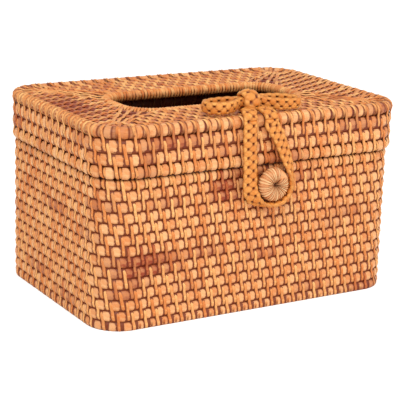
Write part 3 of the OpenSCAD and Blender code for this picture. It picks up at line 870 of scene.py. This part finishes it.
def side_peel():
    """The stitches between upright rows and the turns round the rows that meet at the seam."""
    wall, lid = [], []
    for k in range(1, WALL_ROWS):
        near_shank = abs(k - BUTTON_ROW) < 2
        wall += wall_marks(wall_row(k), ROW_SHIFT * (k - 1), tie=k > WALL_ROWS - 3, shank=near_shank)
    rim = wall_marks(wall_row(WALL_ROWS), ROW_SHIFT * (WALL_ROWS - 1), tie=True, slip=SLIP)
    for k in range(1, LID_ROWS + 1):
        lid.append(wall_marks(lid_row(k), ROW_SHIFT * k, tie=k < 3))
    lid_rim = wall_marks(lid_row(1), 0, tie=True, slip=-LID_SLIP)

    plain = stitch_mesh("stitch_plain", PITCH, CANE_R, CANE_R)
    lid_plain = stitch_mesh("stitch_lid", LID_PITCH, LID_CANE_R, LID_CANE_R)
    to_edge = stitch_mesh("stitch_to_edge", EDGE_DROP, LID_CANE_R, DRAWN_R, 0.9 * STRIP_W)
    rim_turn = turn_mesh("rim_turn", CANE_R - RIM_SINK, STRIP_W, LEAN)
    lid_rim_turn = turn_mesh("lid_rim_turn", LID_CANE_R - RIM_SINK, STRIP_W, LEAN)
    return (
        [(plain, wall), (rim_turn, rim)],
        [(lid_plain, sum(lid[:-1], [])), (to_edge, lid[-1]), (lid_rim_turn, lid_rim)],
    )


def top_peel():
    """The stitches of the top: on the straights, from the edge cane inwards and across the corners."""
    inner_rows, first_row, corners = [], [], []
    for k in range(1, TOP_ROWS + 1):
        outer, inner = top_row(k - 1), top_row(k)
        marks = flat_marks(outer, inner, LID, ROW_SHIFT * (LID_ROWS + k), bow=k < 4)
        (first_row if k == 1 else inner_rows).extend(marks)
        near = DRAWN_R if k == 1 else CANE_R
        for i, (span, marks) in enumerate(corner_marks(outer, inner)):
            corners.append((stitch_mesh(f"corner_{k}_{i}", span, near, CANE_R, 1.1 * STRIP_W, 0), marks))
    plain = stitch_mesh("stitch_top", PITCH, CANE_R, CANE_R, 1.3 * STRIP_W, 2 * LEAN)
    from_edge = stitch_mesh("stitch_from_edge", EDGE_PITCH, DRAWN_R, CANE_R, STRIP_W)
    return [(plain, inner_rows), (from_edge, first_row)], corners


def turned_peel():
    """Turns side by side round the left part of the edge cane and all round the opening."""
    edge_turn = turn_mesh("edge_turn", DRAWN_R, 0.37 * LID_STEP, 0.0, 0.4)
    edge = [m for m in round_marks(top_row(0), LID_STEP / 2) if m[0][0] < -LID[0] + WRAP_IN]
    opening_turn = turn_mesh("opening_turn", CANE_R, OPENING_TURN_W, 0.0, 0.3)
    opening = round_marks(top_row(TOP_ROWS), OPENING_EVERY)
    return [(opening_turn, opening), (edge_turn, edge)]


def build_wall_canes():
    width, height = pad_span(STEP, SLIP)[1], PITCH - PAD_LESS
    pad = pad_mesh("pad", width, height, PAD_OUT)
    corner_pad = pad_mesh("corner_pad", AROUND * width, height, PAD_OUT)
    for k in range(1, WALL_ROWS + 1):
        row = wall_row(k)
        stretch = (0.95, 1, 1) if k == WALL_ROWS else (1, 1.4, 1)
        cane = told(cane_row(f"wall_cane_{k}", row, CANE_R, stretch), "box", f"wall_coil_{k}")
        marks = wall_pads(row, ROW_SHIFT * (k - 2), SLIP)
        with_pads(cane, by_corner(marks, pad, corner_pad, row), f"wall_pads_{k}")


def build_lid_canes():
    """The side of the lid, where the pads of the last row reach up under the edge cane."""
    width = pad_span(LID_STEP, LID_SLIP)[1]
    higher, out, lift = -LID_PAD_LESS, LID_PAD_OUT, 0
    for k, stretch in enumerate(((0.92, 0.97, 1), (1, 1.4, 1), (1, 1.5, 1)), 1):
        if k == LID_ROWS:
            higher, out, lift = 0.6 * MM, 3.6 * MM, 0.4 * MM
        pad = pad_mesh(f"lid_pad_{k}", width, LID_PITCH + higher, out)
        corner_pad = pad_mesh(f"lid_corner_pad_{k}", AROUND * width, LID_PITCH + higher, out)
        row = lid_row(k)
        cane = told(cane_row(f"lid_cane_{k}", row, LID_CANE_R, stretch), "lid", f"lid_coil_{k}")
        marks = wall_pads(row._replace(z=row.z + lift), ROW_SHIFT * (k - 1), LID_SLIP)
        with_pads(cane, by_corner(marks, pad, corner_pad, row), f"lid_pads_{k}")


def build_edge_cane():
    """The thick cane, whose own bulges are the pads, but for the left side that is wrapped all over."""
    middle, width = pad_span(LID_STEP, LID_SLIP)
    middles = [(i + ROW_SHIFT * LID_ROWS) * LID_STEP + middle for i in range(stitch_count(LID))]
    middles = [s for s in middles if not on_left(s % ring_len(LID))]
    cane = cane_row("edge_cane", top_row(0), EDGE_CANE_R, pads=middles, pad_w=width)
    told(cane, "lid", "lid_edge_cane")


def packing_marks(outer, inner):
    """Short ends of cane that pack the corners, where two flat rows part."""
    a, b, r = ((p + q) / 2 for p, q in zip(outer[:3], inner[:3]))
    return arc_pads(inner._replace(a=a, b=b, r=r, z=inner.z - PACKING_SUNK), PACKING_EVERY)


def build_top_canes(top_pad):
    """The rows of the top, with pads on all but the rim, and the cane that packs what they leave open, all
    in a darker copy of the cane as painted shade.
    """
    for k in range(1, TOP_ROWS + 1):
        row = top_row(k)
        stretch = (1.17, 0.9, 1) if k < TOP_ROWS else (0.95, 0.95, 1)
        cane = cane_row(f"top_cane_{k}", row, CANE_R, stretch, finish=SHADED_TOP_CANE)
        told(cane, "lid", f"top_coil_{k}")
        if k < TOP_ROWS:
            offset = pad_span(LID_STEP, SLIP)[0]
            marks = flat_marks(row, row, LID, ROW_SHIFT * (LID_ROWS + k), offset, over=0.0) + arc_pads(row)
            cane = with_pads(cane, [(top_pad, marks)], f"top_pads_{k}", SHADED_TOP_CANE)
        if k == 1:
            inset = EDGE_CANE_R + SLIM_IN
            line = Row(*(p - inset for p in LID), EDGE_Z - SLIM_SUNK, LID_Y, row.number)
            cane = joined(cane.name, [cane, cane_row("edge_packing", line, SLIM_R, finish=SHADED_TOP_CANE)])
        with_pads(cane, [(top_pad, packing_marks(top_row(k - 1), row))], f"corner_packing_{k}", SHADED_TOP_CANE)


def build_floor_canes(top_pad):
    canes, packing = [], []
    for k in range(1, FLOOR_ROWS + 1):
        canes.append(cane_row(f"floor_cane_{k}", floor_row(k), CANE_R, (1.285, 0.95, 1)))
        packing += packing_marks(floor_row(k - 1), floor_row(k))
    canes.append(placed("floor_packing", [(top_pad, packing)], CANE))
    told(joined("floor_canes", canes), "box", "floor_coils")


def floor_peel(plain):
    marks = []
    for k in range(1, FLOOR_ROWS + 1):
        marks += flat_marks(floor_row(k - 1), floor_row(k), WALL, -ROW_SHIFT * k)
    return [(plain, marks)]


def build_ties():
    """The hinge ties, each five turns of peel side by side."""
    tie = stitch_mesh("tie_turn", TIE_SPAN, CANE_R + TIE_LOOSE, LID_CANE_R + TIE_LOOSE, TIE_TURN_W, 0)
    for side, name in ((-1, "hinge_tie_left"), (1, "hinge_tie_right")):
        marks = []
        for k in range(5):
            x = side * TIE_OFFSET + (k - 2) * TIE_EVERY
            marks.append(mark((x, WALL[1], wall_row(WALL_ROWS).z), -RIGHT, UP, TIES, k))
        told(placed(f"{name}_turns", [(tie, marks)], PEEL, 0.0), "lid", name)


def build_rows():
    """Every row of cane and every stitch of the box and the lid."""
    wall, lid_side = side_peel()
    lid_top, corners = top_peel()
    width = pad_span(LID_STEP, LID_SLIP)[1]
    # the pads of the top and the floor have the ring inside their rim painted nearly full dark as shade
    top_pad = pad_mesh("top_pad", width, PITCH - TOP_PAD_LESS, TOP_PAD_OUT, 0.9)
    build_wall_canes()
    build_lid_canes()
    build_edge_cane()
    build_top_canes(top_pad)
    build_floor_canes(top_pad)
    lid_top += turned_peel() + corners
    for name, node, body, groups in (
        ("wall_peel", "wall_stitches", "box", wall),
        ("lid_side_peel", "lid_side_stitches", "lid", lid_side),
        ("lid_top_peel", "lid_top_stitches", "lid", lid_top),
        ("floor_peel", "floor_stitches", "box", floor_peel(wall[0][0])),
    ):
        told(placed(name, groups, PEEL), body, node)
    build_ties()


build_rows()

# braid

LOOP_Y, LOOP_TOP_Z, EDGE_ON_Y = -78.1 * MM, 123.9 * MM, -78.9 * MM
LOOP_STRETCH = 52.85 / 53  # the route is drawn 53 mm deep, and the lowest place is 52.85 mm down
LOOP_OVER = 1.75 * MM  # the loop runs this far past its pivot, into the braid of the roots
# x, z and turn about its own line, from the left end down and round the button to the right end
LOOP_ROUTE = [
    (-18.2, 0, 0), (-18.1, -6, 0), (-17.8, -14, 0), (-17.4, -22, 0), (-17, -30, 0),
    (-16.8, -36, 4), (-16.5, -41, 12), (-15.4, -45, 26), (-13.2, -48.6, 46), (-10, -51.3, 66),
    (-6, -52.7, 82), (-1.5, -53, 90), (3, -52.7, 90), (7.4, -50.9, 90), (10.8, -47.4, 86),
    (13, -43, 78), (13.7, -38, 64), (13.2, -33, 46), (11.6, -28, 30), (9.4, -23, 20),
    (7.2, -18, 16), (4.8, -13, 12), (2.4, -8.2, 8), (-0.6, -4, 4), (-2.4, -1.6, 0), (-2.6, 0, 0),
]
ROOT_REACH = 11.1 * MM
ROOT_PHASES = (-1.6 * MM, -1 * MM)  # where the plait of each root takes up that of the loop
# x, share of the reach back to the knot and z, from the knot forward over the edge
ROOT_ROUTES = [
    [(-14.3, 1, 2.2), (-14.5, 0.78, 2.2), (-15.6, 0.55, 2), (-16.9, 0.32, 1.4),
     (-17.8, 0.11, -0.2), (-18.2, 0.01, -1.3), (-18.2, 0, -1.9), (-18.2, 0, -2.5)],
    [(-3.6, 1, 2.2), (-3.6, 0.78, 2.2), (-3.3, 0.55, 2), (-3, 0.32, 1.4),
     (-2.7, 0.11, -0.2), (-2.6, 0.01, -1.3), (-2.6, 0, -1.9), (-2.6, 0, -2.5)],
]
SQUEEZE = 0.62  # share of its width that the braid keeps inside the knot
# x, y, z, lean and share of the width of the ears, which lean forward and stand open a little
LEFT_EAR = [
    (0, -1.8, 0, 0, SQUEEZE), (-7, -1.8, 0, 0, SQUEEZE), (-10, -3.2, -0.7, -4, 0.74),
    (-14, -5.6, -1.3, -8, 0.82), (-19, -7.2, -1.6, -10, 0.84), (-24.5, -7.2, -1.7, -10, 0.84),
    (-29.2, -4.6, -1.7, -10, 0.82), (-31.2, -0.4, -1.5, -10, 0.78), (-29.8, 4, -1.3, -10, 0.76),
    (-25, 6, -1.1, -10, 0.74), (-19, 5.8, -0.8, -8, 0.74), (-14, 4.4, -0.5, -6, 0.72),
    (-10, 2.8, -0.2, -3, 0.68), (-7, 1.8, 0, 0, SQUEEZE), (0, 1.8, 0, 0, SQUEEZE),
]
RIGHT_EAR = [
    (0, -1.8, 0, 0, SQUEEZE), (7, -1.8, 0, 0, SQUEEZE), (10, -3.2, -0.8, -4, 0.72),
    (14, -5.6, -1.5, -10, 0.78), (19.5, -7.8, -1.9, -12, 0.8), (26, -9, -2, -12, 0.78),
    (31.5, -8.6, -1.9, -12, 0.74), (34.2, -5.6, -1.6, -12, 0.68), (33, -2, -1.2, -12, 0.68),
    (27, 1.4, -0.8, -12, 0.72), (20.5, 3, -0.5, -10, 0.74), (14.5, 3.4, -0.3, -8, 0.72),
    (10, 2.8, -0.1, -4, 0.68), (7, 1.8, 0, 0, SQUEEZE), (0, 1.8, 0, 0, SQUEEZE),
]
EDGE_TOP_Z = 128.3 * MM
KNOT_FOOT_Z, KNOT_T, KNOT_W = 127.6 * MM, 2.6 * MM, 12 * MM
KNOT_INSIDE, KNOT_DEPTH = 7.5 * MM, 7.3 * MM
KNOT_BEND, KNOT_CROWN = 3 * MM, 1.6 * MM
BOW_Z = KNOT_FOOT_Z + KNOT_T + KNOT_INSIDE - 0.3 * MM - SQUEEZE * CORD_W / 2

CUT_ALONG = 0.42 * MM  # a braid is cut into steps of this length
CURVE_CUTS = 12  # between two places of a route, before those steps are laid out


def smooth_line(rows, closed=False):
    """A Catmull-Rom line through rows of x, y, z and more, cut in even steps of length."""
    rows = np.array(rows, float)
    n = len(rows)
    dense = []
    for i in range(n if closed else n - 1):
        around = (-1, 0, 1, 2)
        p = [rows[(i + k) % n] if closed else rows[min(max(i + k, 0), n - 1)] for k in around]
        for t in np.arange(CURVE_CUTS) / CURVE_CUTS:
            dense.append(
                0.5 * (2 * p[1] + (p[2] - p[0]) * t + (2 * p[0] - 5 * p[1] + 4 * p[2] - p[3]) * t * t
                       + (3 * p[1] - p[0] - 3 * p[2] + p[3]) * t ** 3)
            )
    dense.append(rows[0] if closed else rows[-1])
    dense = np.array(dense)
    lengths = np.concatenate([[0], np.cumsum(np.linalg.norm(np.diff(dense[:, :3], axis=0), axis=1))])
    count = max(2, round(lengths[-1] / CUT_ALONG))
    at = np.linspace(0, lengths[-1], count + 1)
    return np.stack([np.interp(at, lengths, column) for column in dense.T], axis=1), lengths[-1]


# the holes of a plait: how far apart along it, how far off its middle, and how large they are
HOLE_STEP, HOLE_SIDE = 5.7 * MM, 0.38
HOLE_LONG, HOLE_WIDE, HOLE_DEEP = 1.05 * MM, 0.8 * MM, 1.2 * MM
GROOVE_WIDE, GROOVE_DEEP = 0.5 * MM, 0.36 * MM
# how far apart the numbers of the crossing strands are, so that each cell between them has its own tone
CELL_WEIGHTS = (12.9, 78.2)


def plait_relief(run, u):
    """Depth, painted shade and tone of a flat plait at a place along and across it, u from -1 to 1. Its
    grooves and holes are painted dark as shade.
    """
    place, slant = run / HOLE_STEP, 0.25 / HOLE_SIDE * u
    depth, dark, cell = 0.0, 0.0, 0.0
    for value, weight in zip((place + slant, place - slant - 0.5), CELL_WEIGHTS):
        off = abs(value - round(value)) * HOLE_STEP / GROOVE_WIDE
        groove = math.exp(-off * off)
        depth += GROOVE_DEEP * groove
        dark += 0.45 * groove * (1 - 0.5 * abs(u))
        cell += weight * math.floor(value)
    for side in (-1, 1):
        along = place + side * 0.25
        off = abs(along - round(along)) * HOLE_STEP / HOLE_LONG
        across = (u - side * HOLE_SIDE) * CORD_W / 2 / HOLE_WIDE
        hole = math.exp(-((off * off + across * across) ** 1.5))
        depth += HOLE_DEEP * hole
        dark += hole
    return depth, min(0.97, dark), 0.2 + 0.8 * abs(math.sin(cell))


# places across one face of a plait, closest together at its edges
ACROSS = [-1, -0.95, -0.85] + [k / 14 for k in range(-10, 11)] + [0.85, 0.95, 1]


def plait_ring(place, onward, thick, crown, blunt):
    """One cut across a plait: how far across and out each corner is, and its looks."""
    for face, places in ((1, ACROSS), (-1, ACROSS[-3:1:-1])):
        spot = place if face == 1 else place + HOLE_STEP / 2
        for u in places:
            side = u * onward * face
            depth, dark, tone = plait_relief(spot, side)
            edge = max(0.0, 1 - abs(u) ** 5) ** 0.5
            rise = thick / 2 * (0.35 * (1 - u * u) ** 0.5 + 0.65 * edge) * blunt
            rise += crown * (1 - u * u) if face == 1 else 0.0
            scallop = 0.98 - 0.05 * side ** 3 * math.sin(2 * math.pi * spot / HOLE_STEP)
            lie = (place * 1000 + 15 * face, u * 5, 5 * u * math.sin(place * 1100))
            stain = 0.3 * (1 - tone) * (0.4 + 0.6 * abs(math.sin(place * 130)))
            # painted shade, with a little on the edges
            look = (lie, tone, stain, dark if abs(u) < 0.95 else 0.3)
            yield u * scallop, face * max(rise - depth * edge, 0.0), look


def plait(name, rows, face_way, width, thick, closed=False, start=0.0, onward=1, crown=0.0):
    """A flat plait along rows of x, y, z, turn and share of the width, crown its bulge outward."""
    rows, length = smooth_line(rows, closed)
    count = len(rows) - 1 if closed else len(rows)
    line = [Vector(row[:3]) for row in rows[:count]]
    whole = max(1, round(length / HOLE_STEP)) * HOLE_STEP / length if closed else 1.0
    verts, looks = [], []
    run = 0.0
    for i in range(count):
        before = line[(i - 1) % count] if closed else line[max(i - 1, 0)]
        after = line[(i + 1) % count] if closed else line[min(i + 1, count - 1)]
        ahead = (after - before).normalized()
        wide = ahead.cross(Vector(face_way(ahead, rows[i][3]))).normalized()
        out = wide.cross(ahead).normalized()
        run += 0 if i == 0 else (line[i] - line[i - 1]).length
        half = width * rows[i][4] / 2
        blunt = 1.0 if closed else min(1.0, 0.55 + min(i, count - 1 - i) * 0.2)
        for across, rise, look in plait_ring(start + onward * run * whole, onward, thick, crown, blunt):
            verts.append(line[i] + wide * (across * half) + out * rise)
            looks.append(look)
    faces = tube_faces(count, len(verts) // count, closed)
    return worked_object(name, verts, faces, looks, BRAID), line, length


def build_loop():
    """The loop that hangs down the front, and its length, which the roots' plait is matched to."""
    route = []
    for x, z, turn in LOOP_ROUTE:
        on_edge = math.sin(math.radians(turn)) ** 2
        route.append((
            BUTTON_X + x * LOOP_STRETCH * MM, LOOP_Y + (EDGE_ON_Y - LOOP_Y) * on_edge,
            LOOP_TOP_Z + z * LOOP_STRETCH * MM, math.radians(turn), 1,
        ))
    over = [(x, y, LOOP_TOP_Z + LOOP_OVER, turn, share) for x, y, z, turn, share in (route[0], route[-1])]
    route = [over[0], *route, over[1]]

    def loop_face(ahead, turn):
        back = Vector((0, 1, 0))
        return -(back * math.cos(turn) + ahead.cross(back).normalized() * math.sin(turn))

    loop, line, length = plait("hanging_loop", route, loop_face, CORD_W, CORD_T, start=-LOOP_OVER)
    told(loop, "loop", "closure_loop")
    tuple(route[0][:3])
    [tuple(p) for p in line]
    return length


def build_roots(loop_length):
    """The two stretches from the knot to the loop, whose plait runs on into that of the loop."""
    roots = []
    for k, root in enumerate(ROOT_ROUTES):
        points = [
            (BUTTON_X + x * LOOP_STRETCH * MM, LOOP_Y + y * ROOT_REACH, EDGE_TOP_Z + z * MM, 0, 1)
            for x, y, z in root
        ]
        reach = smooth_line(points)[1]
        start, onward = (ROOT_PHASES[0] - reach, 1) if k == 0 else (loop_length + ROOT_PHASES[1] + reach, -1)
        roots.append(plait(
            f"loop_root_{k}", points, lambda ahead, turn: -RIGHT.cross(ahead), CORD_W, CORD_T,
            start=start, onward=onward,
        )[0])
    told(joined("root_braids", roots), "lid", "loop_roots")


def build_ears():
    def ear_face(ahead, turn):
        side = ahead.cross(UP)
        return Vector((side.x, side.y * math.cos(turn), -side.y * math.sin(turn)))

    for name, ear in (("bow_ear_left", LEFT_EAR), ("bow_ear_right", RIGHT_EAR)):
        points = [
            (KNOT_X + x * MM, KNOT_Y + y * MM, BOW_Z + z * MM, math.radians(lean), share)
            for x, y, z, lean, share in ear
        ]
        told(plait(f"{name}_braid", points, ear_face, CORD_W, CORD_T)[0], "lid", name)


def build_knot():
    """The tight turn of braid round the middle of the bow."""
    mid_z = KNOT_FOOT_Z + KNOT_T + KNOT_INSIDE / 2
    out_y, out_z = KNOT_DEPTH / 2 + KNOT_T / 2, KNOT_INSIDE / 2 + KNOT_T / 2
    bend = KNOT_T / 2 + KNOT_BEND
    points = []
    for cy, cz, start in ((1, 1, 0), (-1, 1, 90), (-1, -1, 180), (1, -1, 270)):
        for angle in (0, 45, 90):
            turn = math.radians(start + angle)
            points.append((
                KNOT_X, KNOT_Y + cy * (out_y - bend) + bend * math.cos(turn),
                mid_z + cz * (out_z - bend) + bend * math.sin(turn), 0, 1,
            ))
    knot = plait(
        "bow_knot_braid", points, lambda ahead, turn: ahead.cross(RIGHT), KNOT_W, KNOT_T, True,
        crown=KNOT_CROWN,
    )[0]
    told(knot, "lid", "bow_knot")


build_roots(build_loop())
build_ears()
build_knot()

# button

TURNS, TURN_CUTS, COIL_SIDES = 32, 6, 20
COIL_START, COIL_SWEEP, CURL_FROM = 62, 350, 0.68
COIL_REACH, CURL_IN = 5.9 * MM, 1.5 * MM
COIL_THICK, CURL_THINNER = 5.05 * MM, 0.9 * MM
CURL_OUT = 2.4 * MM
# the strap of the shank: half its thickness, how far past the button's middle and short of the peg's
# middle its ends are, and the radius of the turn round the peg
STRAP_HALF, STRAP_PAST, STRAP_SHORT, PEG_TURN_R = 0.4 * MM, 1.5 * MM, 2.2 * MM, 2 * MM


def build_button():
    """The wound coil of the button: it goes once round and curls in over its own start."""
    count = TURNS * TURN_CUTS
    verts, looks = [], []
    for i in range(count + 1):
        share = i / count
        angle = math.radians(COIL_START + COIL_SWEEP * share)
        inward = clipped((share - CURL_FROM) / (1 - CURL_FROM))
        inward = inward * inward * (3 - 2 * inward)
        end = min(1.0, i / 5, (count - i) / 16)
        thick = (COIL_THICK - CURL_THINNER * inward) * math.sqrt(max(0.02, 1 - (1 - end) ** 2))
        across = Vector((math.cos(angle), 0, math.sin(angle)))
        middle = Vector((BUTTON_X, BUTTON_Y - CURL_OUT * inward, BUTTON_Z))
        middle += across * (COIL_REACH - CURL_IN * inward)
        turn, phase = i // TURN_CUTS, abs(math.sin(math.pi * i / TURN_CUTS))
        tone, stain = 0.6 + 0.4 * math.sin(turn * 2.4), 0.12 + 0.16 * math.sin(turn * 1.3)
        ridge = thick * (0.78 + (0.22 - 0.03 * math.sin(turn * 2.9)) * phase ** 0.6)
        for k in range(COIL_SIDES):
            around = 2 * math.pi * k / COIL_SIDES
            out = Vector((0, -0.9, 0)) * math.sin(around) + across * math.cos(around)
            verts.append(middle + out * ridge)
            # painted shade in the creases between turns and on the side of the coil toward the button's
            # middle
            valley = max(0.95 * (1 - phase) ** 1.5, 0.7 * max(0.0, -math.cos(around) - 0.2))
            looks.append(((around * 12, i * 0.9, k * 0.1), tone, stain, valley))
    faces = tube_faces(count + 1, COIL_SIDES, turned=True)
    coil = worked_object("button_coil", verts, faces, looks, BUTTON)
    told(coil, "box", "button_wraps")


def build_shank():
    """The strap from the eye of the button, in between two rows, to the peg and once round it."""
    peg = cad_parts["button_peg"]
    far = sum((Vector(corner) for corner in peg.bound_box), Vector()) / 8
    near = Vector((BUTTON_X, BUTTON_Y - STRAP_PAST, BUTTON_Z))
    ahead = (far - near).normalized()
    up = RIGHT.cross(ahead).normalized()
    verts = [
        end + RIGHT * (side * SHANK_W / 2) + up * (rise * STRAP_HALF)
        for end in (near, far - ahead * STRAP_SHORT) for side, rise in ((-1, -1), (1, -1), (1, 1), (-1, 1))
    ]
    mesh = bpy.data.meshes.new("button_strap")
    mesh.from_pydata([tuple(v) for v in verts], [], tube_faces(2, 4, turned=True))
    # the strap is in the peel painted dark as shade
    mesh.materials.append(SHADOW_PEEL)
    strap = new_object("button_strap", mesh)
    turn = turn_mesh("peg_turn", PEG_TURN_R, SHANK_W)
    marks = [mark(far, RIGHT, UP, TIES, 0)]
    around_peg = placed("button_peg_turn", [(turn, marks)], SHADOW_PEEL, 0.0, 0.0)
    told(joined("button_strap", [strap, around_peg]), "box", "button_shank")


build_button()
build_shank()

# pieces that are seen as the solids have them
for node, finish in (
    ("button_ring", PLAIN_CANE), ("button_peg", PLAIN_CANE),
    ("bow_tie", SHADOW_PEEL), ("bow_peg", PLAIN_CANE), ("floor_start_cane", PLAIN_CANE),
):
    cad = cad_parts[node]
    cad.data.materials.clear()
    cad.data.materials.append(finish)

# floor and light

GROUND, AIM = 4.0, Vector((0, 0, 0.06))


def build_ground():
    """A pale floor that glows a little where the camera sees it."""
    corners = [(-GROUND, -GROUND, 0), (GROUND, -GROUND, 0), (GROUND, GROUND, 0), (-GROUND, GROUND, 0)]
    mesh = bpy.data.meshes.new("studio_floor")
    mesh.from_pydata(corners, [], [(0, 1, 2, 3)])
    floor = new_object("studio_floor", mesh)
    material = bpy.data.materials.new("Studio floor")
    material.use_nodes = True
    tree = material.node_tree
    shader = tree.nodes["Principled BSDF"]
    shader.inputs["Base Color"].default_value = (0.9, 0.9, 0.9, 1)
    shader.inputs["Roughness"].default_value = 0.9
    glow = put(tree, "ShaderNodeEmission", {"Strength": 0.35}).outputs[0]
    both = put(tree, "ShaderNodeAddShader", {0: shader.outputs[0], 1: glow}).outputs[0]
    seen = put(tree, "ShaderNodeLightPath").outputs["Is Camera Ray"]
    mixed = put(tree, "ShaderNodeMixShader", {0: seen, 1: shader.outputs[0], 2: both})
    tree.links.new(mixed.outputs[0], tree.nodes["Material Output"].inputs[0])
    mesh.materials.append(material)


def build_light():
    world = bpy.data.worlds.new("Studio world")
    world.use_nodes = True
    background = world.node_tree.nodes["Background"]
    background.inputs["Color"].default_value = (1, 1, 1, 1)
    background.inputs["Strength"].default_value = 0.75
    bpy.context.scene.world = world

    for name, place, size, watts in (
        ("key_light", (-0.7, -0.9, 1.2), 0.8, 13),
        ("fill_light", (0.9, -1.0, 0.5), 0.9, 5),
    ):
        data = bpy.data.lights.new(name, "AREA")
        data.size, data.energy = size, watts
        lamp = bpy.data.objects.new(name, data)
        lamp.location = place
        lamp.rotation_euler = (Vector(place) - AIM).to_track_quat("Z", "Y").to_euler()
        bpy.context.scene.collection.objects.link(lamp)
    bpy.context.scene.view_settings.view_transform = "Standard"


build_ground()
build_light()
